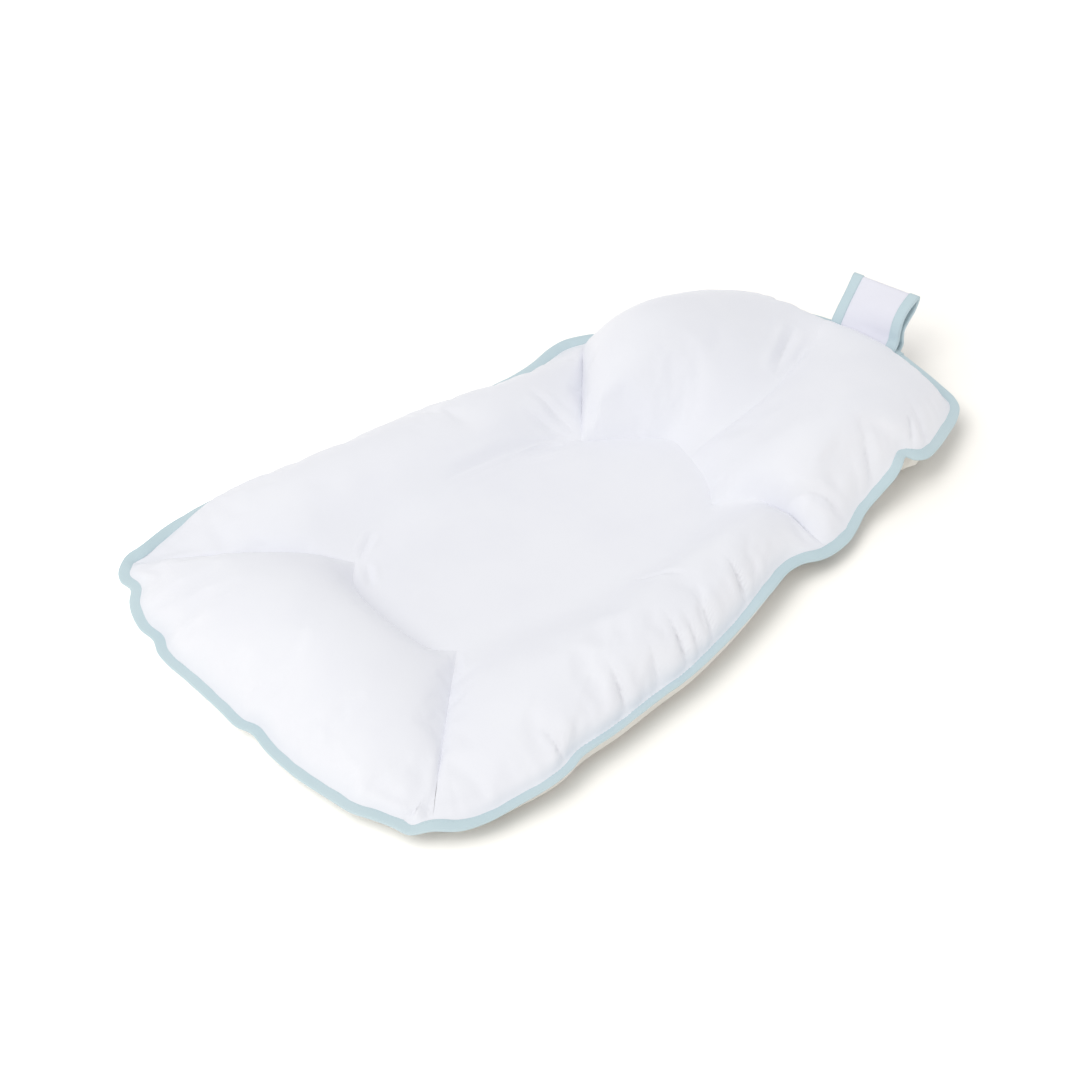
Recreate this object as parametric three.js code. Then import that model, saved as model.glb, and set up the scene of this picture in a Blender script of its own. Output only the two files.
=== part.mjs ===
// A baby bath mattress: a soft white cushion with five domed chambers round a shallow lying hollow,
// sewn to one base panel, edged with bias binding, with a hanging loop at the head end.
// Millimetres, +Z up, +Y towards the head end, origin on the floor under the middle of the body.
import * as THREE from "three";
import { mergeVertices } from "three/addons/utils/BufferGeometryUtils.js";

// Outline in plan, to the outside of the edge binding. Each inset is measured from the nearer end.
const BODY_LENGTH = 620;
const FOOT_FLAT_WIDTH = 200;
const FOOT_FLAT_INSET = 5;
const FOOT_CORNER_WIDTH = 342;
const FOOT_CORNER_INSET = 31;
const HIP_WIDTH = 378;
const HIP_INSET = 118;
const NECK_WIDTH = 304;
const NECK_INSET = 192;
const HEAD_WIDTH = 246;
const HEAD_INSET = 72;
const HEAD_CORNER_WIDTH = 212;
const HEAD_CORNER_INSET = 22;
const HEAD_FLAT_WIDTH = 100;
const HEAD_FLAT_INSET = 1.5;

// Height of the bound edge above the floor
const FOOT_EDGE_HEIGHT = 12;
const HIP_EDGE_HEIGHT = 15;
const NECK_EDGE_HEIGHT = 21;
const HEAD_SIDE_EDGE_HEIGHT = 22;
const HEAD_EDGE_HEIGHT = 26;

// Seams round the lying hollow, and how far they bow outwards and up
const HOLLOW_FOOT_WIDTH = 119;
const HOLLOW_FOOT_INSET = 157;
const HOLLOW_HEAD_WIDTH = 120;
const HOLLOW_HEAD_INSET = 239;
const HOLLOW_APEX_INSET = 201;
const HOLLOW_FOOT_BOW = 19;
const HOLLOW_SIDE_BOW = 24;
const HOLLOW_SIDE_RISE = 5;
const HOLLOW_SEAM_HEIGHT = 18;

// How far the seams between neighbouring chambers arch up
const CHAMBER_SEAM_ARCH = 7;

// How far each filled chamber rises above its seams, and the hollow sinks below its own
const FOOT_CROWN = 40;
const SIDE_CROWN = 28;
const HEAD_CROWN = 47;
const HOLLOW_DIP = 6;

// How gently each chamber falls away from its crown: 1 is a plain arch, less is blunter
const FOOT_EDGE_FALL = 0.65;
const FOOT_HOLLOW_FALL = 0.6;
const FOOT_END_FALL = 0.6;
const SIDE_EDGE_FALL = 0.72;
const SIDE_HOLLOW_FALL = 1.1;
const SIDE_END_FALL = 0.65;
const HEAD_EDGE_FALL = 0.56;
const HEAD_HOLLOW_FALL = 0.62;
const HEAD_NECK_FALL = 0.46;
const HEAD_MIDDLE_FALL = 0.76;
const HOLLOW_FALL = 0.8;

// Cloth, tape and the clearances between layers
const FABRIC = 1;
const LAYER_GAP = 0.3;
const TAPE = 0.8;
const BINDING_WIDTH = 9;
const FLANGE_SETBACK = 2.2;
const SLOT_SETBACK = 1.6;

// Hanging loop
const STRAP_WIDTH = 60;
const STRAP_THICKNESS = 1.6;
const LOOP_LENGTH = 45;
const LOOP_RISE_DEG = 62;
const LOOP_ROOT_CLEARANCE = 0.6;
const LOOP_ROOT_HALF_GAP = 2.2;
const LOOP_TIP_RADIUS = 3.2;
const LOOP_BELLY = 4.5;
const LOOP_TAPE_START = 5;
const LOOP_TAPE_WIDTH = 10;
const TAIL_START = 3.6;
const TAIL_LENGTH = 3.8;

// Blank tab sewn into the left edge
const TAB_INSET = 292;
const TAB_WIDTH = 26;
const TAB_LENGTH = 15;
const TAB_THICKNESS = 1.2;
const TAB_RISE_DEG = -25;

// Facets along the foot edge's half, the sides, across a chamber, and along the loop
const HALF_FACETS = 8;
const SIDE_FACETS = 9;
const CROSS_FACETS = 8;
const LEAF_FACETS = 8;
const TIP_FACETS = 6;
const TAB_FOLD_FACETS = 3;
const OUTLINE_SAMPLES = 120;

// Materials
const whiteFabric = new THREE.MeshStandardMaterial({ color: 0xf1f2f7, roughness: 0.62, metalness: 0 });
const blueTape = new THREE.MeshStandardMaterial({ color: 0xbcd8de, roughness: 0.75, metalness: 0 });
const whiteRibbon = new THREE.MeshStandardMaterial({ color: 0xf4f4f4, roughness: 0.5, metalness: 0 });
const beadFill = new THREE.MeshStandardMaterial({ color: 0xfafafa, roughness: 0.9, metalness: 0 });

const { degToRad, lerp } = THREE.MathUtils;
const footY = -BODY_LENGTH / 2;
const headY = BODY_LENGTH / 2;
const halfFlange = FABRIC + LAYER_GAP / 2;
const slotHalfHeight = halfFlange + LAYER_GAP;
const bindingHalfHeight = slotHalfHeight + TAPE;

// Points and curves

const rightPoint = (width, y, z) => new THREE.Vector3(width / 2, y, z);
const mirrored = (point) => new THREE.Vector3(-point.x, point.y, point.z);
const reversed = (points) => [...points].reverse();

/** Points spaced evenly along a polyline. */
function evenly(points, segments) {
  const lengths = [0];
  for (let i = 1; i < points.length; i++) {
    lengths.push(lengths[i - 1] + points[i].distanceTo(points[i - 1]));
  }
  const total = lengths[lengths.length - 1];
  let leg = 1;
  return Array.from({ length: segments + 1 }, (_, i) => {
    const target = (total * i) / segments;
    while (leg < points.length - 1 && lengths[leg] < target) leg++;
    const share = (target - lengths[leg - 1]) / (lengths[leg] - lengths[leg - 1]);
    return points[leg - 1].clone().lerp(points[leg], share);
  });
}

/** A seam between two points that bows by a given vector at its middle. */
function bowedSeam(from, to, bow, segments) {
  const pull = from.clone().lerp(to, 0.5).addScaledVector(bow, 2);
  return new THREE.QuadraticBezierCurve3(from, pull, to).getSpacedPoints(segments);
}

// Outline of the cushion, anticlockwise from the middle of the foot edge

const rightHalf = [
  rightPoint(0, footY, FOOT_EDGE_HEIGHT),
  rightPoint(FOOT_FLAT_WIDTH, footY + FOOT_FLAT_INSET, FOOT_EDGE_HEIGHT),
  rightPoint(FOOT_CORNER_WIDTH, footY + FOOT_CORNER_INSET, FOOT_EDGE_HEIGHT),
  rightPoint(HIP_WIDTH, footY + HIP_INSET, HIP_EDGE_HEIGHT),
  rightPoint(NECK_WIDTH, headY - NECK_INSET, NECK_EDGE_HEIGHT),
  rightPoint(HEAD_WIDTH, headY - HEAD_INSET, HEAD_SIDE_EDGE_HEIGHT),
  rightPoint(HEAD_CORNER_WIDTH, headY - HEAD_CORNER_INSET, HEAD_SIDE_EDGE_HEIGHT),
  rightPoint(HEAD_FLAT_WIDTH, headY - HEAD_FLAT_INSET, HEAD_EDGE_HEIGHT),
  rightPoint(0, headY, HEAD_EDGE_HEIGHT),
];
const footCornerIndex = 2;
const neckIndex = 4;
const headMiddleIndex = rightHalf.length - 1;
const outlinePoints = [...rightHalf, ...reversed(rightHalf.slice(1, -1)).map(mirrored)];
const outline = new THREE.CatmullRomCurve3(outlinePoints, true, "centripetal");
const aroundOutline = outlinePoints.length;

/** Even points along the outline between two of its control points. */
function outlineEdge(from, to, segments) {
  const fine = Array.from({ length: OUTLINE_SAMPLES + 1 }, (_, i) => {
    const place = lerp(from, to, i / OUTLINE_SAMPLES) / aroundOutline;
    return outline.getPoint((place + 1) % 1);
  });
  return evenly(fine, segments);
}

const edgeSpans = {
  foot: [-footCornerIndex, footCornerIndex, 2 * HALF_FACETS],
  right: [footCornerIndex, neckIndex, SIDE_FACETS],
  rightHead: [neckIndex, headMiddleIndex, HALF_FACETS],
  leftHead: [headMiddleIndex, 2 * headMiddleIndex - neckIndex, HALF_FACETS],
  left: [2 * headMiddleIndex - neckIndex, 2 * headMiddleIndex - footCornerIndex, SIDE_FACETS],
};
const edgeStarts = {};
const ring = [];
for (const [name, span] of Object.entries(edgeSpans)) {
  edgeStarts[name] = ring.length;
  ring.push(...outlineEdge(...span).slice(0, -1));
}

const ringNormals = ring.map((_, i) => {
  const along = ring[(i + 1) % ring.length].clone().sub(ring.at(i - 1));
  return new THREE.Vector3(along.y, -along.x, 0).normalize();
});

/** The outline moved inwards. */
const insetRing = (distance) => ring.map((p, i) => p.clone().addScaledVector(ringNormals[i], -distance));
const chamberRing = insetRing(BINDING_WIDTH);
const flangeRing = insetRing(FLANGE_SETBACK);

/** One named edge's points on a ring. */
function edgeOf(points, name) {
  const segments = edgeSpans[name][2];
  return Array.from({ length: segments + 1 }, (_, i) => points[(edgeStarts[name] + i) % points.length]);
}

// Seams

const hollowFootRight = rightPoint(HOLLOW_FOOT_WIDTH, footY + HOLLOW_FOOT_INSET, HOLLOW_SEAM_HEIGHT);
const hollowHeadRight = rightPoint(HOLLOW_HEAD_WIDTH, headY - HOLLOW_HEAD_INSET, HOLLOW_SEAM_HEIGHT);
const hollowApex = rightPoint(0, headY - HOLLOW_APEX_INSET, HOLLOW_SEAM_HEIGHT);
const hollowFootLeft = mirrored(hollowFootRight);
const hollowHeadLeft = mirrored(hollowHeadRight);

const footBow = new THREE.Vector3(0, -HOLLOW_FOOT_BOW, 0);
const sideBow = new THREE.Vector3(HOLLOW_SIDE_BOW, 0, HOLLOW_SIDE_RISE);
const noBow = new THREE.Vector3();
const archBow = new THREE.Vector3(0, 0, CHAMBER_SEAM_ARCH);

const cornerOf = (name) => chamberRing[edgeStarts[name]];
const chamberSeam = (name, hollowCorner) => bowedSeam(cornerOf(name), hollowCorner, archBow, CROSS_FACETS);
const seams = {
  footLeft: chamberSeam("foot", hollowFootLeft),
  footRight: chamberSeam("right", hollowFootRight),
  neckRight: chamberSeam("rightHead", hollowHeadRight),
  headMiddle: chamberSeam("leftHead", hollowApex),
  neckLeft: chamberSeam("left", hollowHeadLeft),
  hollowFoot: bowedSeam(hollowFootLeft, hollowFootRight, footBow, 2 * HALF_FACETS),
  hollowRight: bowedSeam(hollowFootRight, hollowHeadRight, sideBow, SIDE_FACETS),
  hollowHeadRight: bowedSeam(hollowHeadRight, hollowApex, noBow, HALF_FACETS),
  hollowHeadLeft: bowedSeam(hollowApex, hollowHeadLeft, noBow, HALF_FACETS),
  hollowLeft: bowedSeam(hollowHeadLeft, hollowFootLeft, mirrored(sideBow), SIDE_FACETS),
};

// Chambers: the four seams or edges of each one, anticlockwise in plan, its crown, and its falls
// from the crown to the outer side, the inner side, the start and the end

const footFalls = [FOOT_EDGE_FALL, FOOT_HOLLOW_FALL, FOOT_END_FALL, FOOT_END_FALL];
const sideFalls = [SIDE_EDGE_FALL, SIDE_HOLLOW_FALL, SIDE_END_FALL, SIDE_END_FALL];
const rightHeadFalls = [HEAD_EDGE_FALL, HEAD_HOLLOW_FALL, HEAD_NECK_FALL, HEAD_MIDDLE_FALL];
const leftHeadFalls = [HEAD_EDGE_FALL, HEAD_HOLLOW_FALL, HEAD_MIDDLE_FALL, HEAD_NECK_FALL];
const hollowFalls = [HOLLOW_FALL, HOLLOW_FALL, HOLLOW_FALL, HOLLOW_FALL];

const chambers = [
  {
    name: "foot", edge: "foot", crown: FOOT_CROWN, falls: footFalls,
    sides: [edgeOf(chamberRing, "foot"), seams.hollowFoot, seams.footLeft, seams.footRight],
  },
  {
    name: "right_side", edge: "right", crown: SIDE_CROWN, falls: sideFalls,
    sides: [edgeOf(chamberRing, "right"), seams.hollowRight, seams.footRight, seams.neckRight],
  },
  {
    name: "right_head", edge: "rightHead", crown: HEAD_CROWN, falls: rightHeadFalls,
    sides: [edgeOf(chamberRing, "rightHead"), seams.hollowHeadRight, seams.neckRight, seams.headMiddle],
  },
  {
    name: "left_head", edge: "leftHead", crown: HEAD_CROWN, falls: leftHeadFalls,
    sides: [edgeOf(chamberRing, "leftHead"), seams.hollowHeadLeft, seams.headMiddle, seams.neckLeft],
  },
  {
    name: "left_side", edge: "left", crown: SIDE_CROWN, falls: sideFalls,
    sides: [edgeOf(chamberRing, "left"), seams.hollowLeft, seams.neckLeft, seams.footLeft],
  },
  {
    name: "centre", edge: null, crown: -HOLLOW_DIP, falls: hollowFalls,
    sides: [
      seams.hollowFoot,
      reversed([...seams.hollowHeadRight, ...seams.hollowHeadLeft.slice(1)]),
      reversed(seams.hollowLeft),
      seams.hollowRight,
    ],
  },
];

// Grids of points: grid[row][column], rows from a chamber's outer side to its inner side

const mapGrid = (grid, change) => grid.map((row, j) => row.map((point, i) => change(point, i, j)));

/** Points that fill the space between four sampled sides (a Coons patch). */
function coonsGrid([bottom, top, left, right]) {
  const columns = bottom.length - 1;
  const rows = left.length - 1;
  const corner = (a, b, c, d, u, v) => a.clone().lerp(b, u).lerp(c.clone().lerp(d, u), v);
  return left.map((leftPoint, j) => bottom.map((bottomPoint, i) => {
    const u = i / columns;
    const v = j / rows;
    const between = corner(bottom[0], bottom[columns], top[0], top[columns], u, v);
    const ruled = bottomPoint.clone().lerp(top[i], v).add(leftPoint.clone().lerp(right[j], u));
    return ruled.sub(between);
  }));
}

const onBorder = (grid, i, j) => i === 0 || j === 0 || j === grid.length - 1 || i === grid[0].length - 1;

/** A panel's flat pattern drawn back a little from the seams it shares with its neighbours. */
function clearOfSeams(grid, keepsOuterSide) {
  const lastRow = grid.length - 1;
  const lastColumn = grid[0].length - 1;
  const inner = (index, last) => Math.min(Math.max(index, 1), last - 1);
  return mapGrid(grid, (point, i, j) => {
    const row = keepsOuterSide && j === 0 ? 0 : inner(j, lastRow);
    const inwards = grid[row][inner(i, lastColumn)].clone().sub(point).setZ(0).normalize();
    return point.clone().addScaledVector(inwards, LAYER_GAP);
  });
}

/** A hump from 0 to 1 and back to 0, with its own fall on each side of the crest. */
function hump(place, fallBefore, fallAfter) {
  const crest = fallBefore / (fallBefore + fallAfter);
  return (place / crest) ** fallBefore * ((1 - place) / (1 - crest)) ** fallAfter;
}

/** The rise of a filled chamber over its seams, 0 on the border and 1 at the crown. */
function crownShare(grid, [outer, inner, start, end], i, j) {
  return hump(i / (grid[0].length - 1), start, end) * hump(j / (grid.length - 1), outer, inner);
}

/** Unit normals of a grid of points. */
function gridNormals(grid) {
  const clampRow = (j) => grid[Math.min(Math.max(j, 0), grid.length - 1)];
  return mapGrid(grid, (_, i, j) => {
    const row = grid[j];
    const along = row[Math.min(i + 1, row.length - 1)].clone().sub(row[Math.max(i - 1, 0)]);
    const across = clampRow(j + 1)[i].clone().sub(clampRow(j - 1)[i]);
    return along.cross(across).normalize();
  });
}

/** A grid moved along its own normals. */
function offsetGrid(grid, distance) {
  const normals = gridNormals(grid);
  return mapGrid(grid, (point, i, j) => point.clone().addScaledVector(normals[j][i], distance));
}

const liftGrid = (grid, rise) => mapGrid(grid, (p) => p.clone().setZ(p.z + rise));

// Surfaces: lists of triangles, each three points anticlockwise from outside

const addQuad = (faces, a, b, c, d) => faces.push(a, b, c, a, c, d);

function addGrid(faces, grid, facesUp) {
  for (let j = 1; j < grid.length; j++) {
    for (let i = 1; i < grid[0].length; i++) {
      const [a, b, c, d] = [grid[j - 1][i - 1], grid[j - 1][i], grid[j][i], grid[j][i - 1]];
      if (facesUp) addQuad(faces, a, b, c, d);
      else addQuad(faces, a, d, c, b);
    }
  }
}

function addWall(faces, lower, upper) {
  for (let i = 1; i < lower.length; i++) addQuad(faces, lower[i - 1], lower[i], upper[i], upper[i - 1]);
}

/** A grid's border, anticlockwise from above, back to its first point. */
function borderOf(grid) {
  const column = (i) => grid.map((row) => row[i]);
  const last = grid[0].length - 1;
  return [
    ...grid[0].slice(0, -1),
    ...column(last).slice(0, -1),
    ...reversed(grid[grid.length - 1]).slice(0, -1),
    ...reversed(column(0)),
  ];
}

function geometryOf(faces) {
  const geometry = new THREE.BufferGeometry().setFromPoints(faces);
  return mergeVertices(geometry);
}

/** The closed solid between an upper and a lower grid. */
function slabGeometry(upper, lower) {
  const faces = [];
  addGrid(faces, upper, true);
  addGrid(faces, lower, false);
  addWall(faces, borderOf(lower), borderOf(upper));
  return geometryOf(faces);
}

/** A section carried along a path. Each frame turns section points (across, up) into space. */
function sweepGeometry(frames, section, isClosed) {
  const rings = frames.map(({ origin, across, up }) => section.map(
    (point) => origin.clone().addScaledVector(across, point.x).addScaledVector(up, point.y),
  ));
  const faces = [];
  const looped = (points) => [...points, points[0]];
  const steps = isClosed ? looped(rings) : rings;
  for (let k = 1; k < steps.length; k++) addWall(faces, looped(steps[k]), looped(steps[k - 1]));
  if (!isClosed) {
    const last = rings[rings.length - 1];
    for (const [a, b, c] of THREE.ShapeUtils.triangulateShape(section, [])) {
      faces.push(rings[0][a], rings[0][b], rings[0][c], last[c], last[b], last[a]);
    }
  }
  return geometryOf(faces);
}

/** A folded tape's section: open towards minus X, its fold rounded, its inside clear of what it binds. */
function foldedTapeSection(width, slotHalf, slotEnd) {
  const radius = slotHalf + TAPE;
  const slant = radius * Math.SQRT1_2;
  return [
    [-width, -radius], [-radius, -radius], [slant - radius, -slant], [0, 0], [slant - radius, slant],
    [-radius, radius], [-width, radius], [-width, slotHalf], [-slotEnd, slotHalf], [-slotEnd, -slotHalf],
    [-width, -slotHalf],
  ].map(([x, y]) => new THREE.Vector2(x, y));
}

// Pieces

const part = new THREE.Group();

function addMesh(parent, name, geometry, material) {
  const mesh = new THREE.Mesh(geometry, material);
  mesh.name = name;
  parent.add(mesh);
}

/** A chamber's base, flat on the floor inside its seams and drawn up to them. */
const baseGrid = (grid) => mapGrid(grid, (p, i, j) => (
  p.clone().setZ(onBorder(grid, i, j) ? p.z - halfFlange : 0)
));

/** A grid with its outer side carried out to the flange that the binding covers. */
function withFlange(grid, edgeName, rise) {
  if (!edgeName) return grid;
  const outer = edgeOf(flangeRing, edgeName).map((p) => p.clone().setZ(p.z + rise));
  return [outer, ...grid];
}

/** The domed top panel of one chamber, a shell of one cloth thickness. */
function topPanelGrid({ sides, edge, crown, falls }) {
  const pattern = withFlange(coonsGrid(sides), edge, 0);
  const cleared = clearOfSeams(pattern, edge !== null);
  const flangeRows = edge ? 1 : 0;
  const domed = cleared.slice(flangeRows);
  const raised = mapGrid(domed, (p, i, j) => {
    const rise = halfFlange + crown * crownShare(domed, falls, i, j);
    return p.clone().setZ(p.z + rise);
  });
  return [...liftGrid(cleared.slice(0, flangeRows), halfFlange), ...raised];
}

function addTopPanel(chamber) {
  const upper = topPanelGrid(chamber);
  addMesh(part, `${chamber.name}_panel`, slabGeometry(upper, offsetGrid(upper, -FABRIC)), whiteFabric);
}

/** The bead filling of one chamber, clear of the cloth all round. */
function addFill(chamber) {
  const withinBorder = (grid, first) => grid.slice(first, -1).map((row) => row.slice(1, -1));
  const panel = topPanelGrid(chamber);
  const top = offsetGrid(panel, -FABRIC - LAYER_GAP);
  const bottom = liftGrid(baseGrid(coonsGrid(chamber.sides)), FABRIC + LAYER_GAP);
  const fill = slabGeometry(withinBorder(top, chamber.edge ? 2 : 1), withinBorder(bottom, 1));
  addMesh(part, `${chamber.name}_fill`, fill, beadFill);
}

/** The one-piece base, drawn up to every seam and out to the bound edge. */
function addBasePanel() {
  const faces = [];
  for (const { sides, edge } of chambers) {
    const lower = withFlange(baseGrid(coonsGrid(sides)), edge, -halfFlange);
    const upper = liftGrid(lower, FABRIC);
    addGrid(faces, upper, true);
    addGrid(faces, lower, false);
    if (edge) addWall(faces, lower[0], upper[0]);
  }
  addMesh(part, "base_panel", geometryOf(faces), whiteFabric);
}

/** The bias binding that closes the edge all round. */
function addEdgeBinding() {
  const up = new THREE.Vector3(0, 0, 1);
  const frames = ring.map((origin, i) => ({ origin, across: ringNormals[i], up }));
  const section = foldedTapeSection(BINDING_WIDTH - LAYER_GAP, slotHalfHeight, SLOT_SETBACK);
  addMesh(part, "edge_binding", sweepGeometry(frames, section, true), blueTape);
}

/** Frames along the loop's middle line, out along the upper leaf, round the tip and back along the lower. */
function loopFrames(strapStart) {
  const tipCentre = LOOP_LENGTH - LOOP_TIP_RADIUS;
  const leafAt = (y) => {
    const share = (y - strapStart) / (tipCentre - strapStart);
    const belly = LOOP_BELLY * Math.sin(Math.PI * share) ** 2;
    return new THREE.Vector3(0, y, lerp(LOOP_ROOT_HALF_GAP, LOOP_TIP_RADIUS, share) + belly);
  };
  const pastRoot = Array.from(
    { length: LEAF_FACETS },
    (_, i) => leafAt(lerp(LOOP_TAPE_START, tipCentre, i / LEAF_FACETS)),
  );
  const upperLeaf = [leafAt(strapStart), ...pastRoot];
  const tip = Array.from({ length: TIP_FACETS + 1 }, (_, i) => {
    const angle = Math.PI * (0.5 - i / TIP_FACETS);
    const spoke = new THREE.Vector3(0, Math.cos(angle), Math.sin(angle));
    return spoke.multiplyScalar(LOOP_TIP_RADIUS).add(new THREE.Vector3(0, tipCentre, 0));
  });
  const lowerLeaf = reversed(upperLeaf).map((p) => new THREE.Vector3(0, p.y, -p.z));
  const path = [...upperLeaf, ...tip, ...lowerLeaf];
  return path.map((origin, i) => {
    const along = path[Math.min(i + 1, path.length - 1)].clone().sub(path[Math.max(i - 1, 0)]).normalize();
    return { origin, across: new THREE.Vector3(1, 0, 0), up: new THREE.Vector3(0, -along.z, along.y) };
  });
}

/** The hanging loop on its hinge line, with its bound edges, and its tails sewn over and under the edge. */
function addHangingLoop() {
  const hinge = new THREE.Group();
  hinge.position.set(0, headY - bindingHalfHeight, HEAD_EDGE_HEIGHT);
  part.add(hinge);
  const loop = new THREE.Group();
  loop.rotation.x = degToRad(LOOP_RISE_DEG);
  hinge.add(loop);

  const halfStrap = STRAP_THICKNESS / 2;
  const tapeSlot = halfStrap + LAYER_GAP;
  const strapEdge = STRAP_WIDTH / 2 - SLOT_SETBACK - LAYER_GAP;
  const strapSection = [[-1, -1], [1, -1], [1, 1], [-1, 1]].map(
    ([x, y]) => new THREE.Vector2(x * strapEdge, y * halfStrap),
  );
  const strapFrames = loopFrames(bindingHalfHeight + LOOP_ROOT_CLEARANCE);
  addMesh(loop, "hang_loop", sweepGeometry(strapFrames, strapSection, false), whiteFabric);

  const rightTape = foldedTapeSection(LOOP_TAPE_WIDTH, tapeSlot, SLOT_SETBACK)
    .map((p) => new THREE.Vector2(p.x + STRAP_WIDTH / 2, p.y));
  const leftTape = reversed(rightTape).map((p) => new THREE.Vector2(-p.x, p.y));
  const tapeFrames = strapFrames.slice(1, -1);
  addMesh(loop, "hang_loop_right_binding", sweepGeometry(tapeFrames, rightTape, false), blueTape);
  addMesh(loop, "hang_loop_left_binding", sweepGeometry(tapeFrames, leftTape, false), blueTape);

  const tail = new THREE.BoxGeometry(2 * strapEdge, TAIL_LENGTH, STRAP_THICKNESS);
  const tailHeight = bindingHalfHeight + LAYER_GAP + halfStrap;
  for (const [name, side] of [["upper", 1], ["lower", -1]]) {
    const placed = tail.clone().translate(0, -TAIL_START - TAIL_LENGTH / 2, side * tailHeight);
    placed.deleteAttribute("normal").deleteAttribute("uv");
    addMesh(hinge, `hang_loop_${name}_tail`, placed, whiteFabric);
  }
}

/** The blank folded ribbon tab on the left edge. */
function addSideTab() {
  const leftEdge = edgeOf(ring, "left");
  const middleY = footY + TAB_INSET;
  const after = leftEdge.findIndex((p) => p.y < middleY);
  const [upper, lower] = [leftEdge[after - 1], leftEdge[after]];
  const spot = upper.clone().lerp(lower, (upper.y - middleY) / (upper.y - lower.y));
  const edge = lower.clone().sub(upper).setZ(0).normalize();
  const outwards = new THREE.Vector3(edge.y, -edge.x, 0);

  const hinge = new THREE.Group();
  hinge.position.copy(spot).addScaledVector(outwards, -bindingHalfHeight);
  hinge.rotation.z = Math.atan2(outwards.y, outwards.x);
  const tilt = new THREE.Group();
  tilt.rotation.y = -degToRad(TAB_RISE_DEG);
  hinge.add(tilt);
  part.add(hinge);

  const half = TAB_THICKNESS / 2;
  const start = bindingHalfHeight + LAYER_GAP;
  const profile = new THREE.Shape();
  profile.moveTo(start, -half);
  profile.lineTo(TAB_LENGTH - half, -half);
  profile.absarc(TAB_LENGTH - half, 0, half, -Math.PI / 2, Math.PI / 2, false);
  profile.lineTo(start, half);
  profile.closePath();
  const ribbon = { depth: TAB_WIDTH, bevelEnabled: false, curveSegments: TAB_FOLD_FACETS };
  const folded = new THREE.ExtrudeGeometry(profile, ribbon);
  folded.rotateX(Math.PI / 2).translate(0, TAB_WIDTH / 2, 0);
  folded.deleteAttribute("normal").deleteAttribute("uv");
  addMesh(tilt, "side_tab", mergeVertices(folded), whiteRibbon);
}

addBasePanel();
chambers.forEach(addTopPanel);
chambers.forEach(addFill);
addEdgeBinding();
addHangingLoop();
addSideTab();

export default part;
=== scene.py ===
"""Dresses the baby bath mattress: a soft white cushion of six sewn chambers with a pale blue bound edge."""

import logging
import math
from dataclasses import dataclass, field
from enum import Enum

import bpy
import numpy as np
from mathutils import Matrix, Vector, kdtree, noise


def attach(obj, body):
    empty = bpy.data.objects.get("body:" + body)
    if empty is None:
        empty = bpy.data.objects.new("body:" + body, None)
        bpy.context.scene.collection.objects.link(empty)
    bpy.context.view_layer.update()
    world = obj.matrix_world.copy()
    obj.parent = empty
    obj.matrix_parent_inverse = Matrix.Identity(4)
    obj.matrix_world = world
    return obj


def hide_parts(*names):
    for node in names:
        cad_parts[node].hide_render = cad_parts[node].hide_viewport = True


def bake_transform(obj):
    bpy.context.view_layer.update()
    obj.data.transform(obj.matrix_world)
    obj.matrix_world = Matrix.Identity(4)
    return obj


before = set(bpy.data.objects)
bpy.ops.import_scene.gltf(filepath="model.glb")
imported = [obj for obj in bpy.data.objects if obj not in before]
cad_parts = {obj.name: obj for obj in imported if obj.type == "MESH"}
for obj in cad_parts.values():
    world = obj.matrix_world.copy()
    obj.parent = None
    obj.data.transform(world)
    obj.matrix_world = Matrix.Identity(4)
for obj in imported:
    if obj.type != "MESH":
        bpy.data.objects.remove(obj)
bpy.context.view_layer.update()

log = logging.getLogger("bath_mattress")
MM = 0.001
UP = np.array([0.0, 0.0, 1.0])
LEVEL = np.array([1.0, 1.0, 0.0])
PER_SPAN = 24
WELD_DECIMALS = 6
WAVE_TEXTURE_PITCH = 2 * math.pi / 20


class Body(Enum):
    """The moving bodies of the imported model."""

    MATTRESS = "mattress"
    LOOP = "loop"
    TAB = "tab"


class Slot(Enum):
    """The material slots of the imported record."""

    FABRIC = "white_fabric"
    TAPE = "blue_tape"
    RIBBON = "white_ribbon"


class Corner(Enum):
    """Places on the bound edge where a seam between two chambers ends, anticlockwise."""

    FOOT_LEFT = "foot left"
    FOOT_RIGHT = "foot right"
    NECK_RIGHT = "neck right"
    HEAD_MIDDLE = "head middle"
    NECK_LEFT = "neck left"


class Chamber(Enum):
    """The filled chambers, named as their nodes are: five anticlockwise from the foot, and the centre."""

    FOOT = "foot"
    RIGHT_SIDE = "right_side"
    RIGHT_HEAD = "right_head"
    LEFT_HEAD = "left_head"
    LEFT_SIDE = "left_side"
    CENTRE = "centre"


# Curves and meshes


def table(rows: dict) -> dict:
    """A dataclass field that starts as a copy of the given table."""
    return field(default_factory=lambda: dict(rows))


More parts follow.
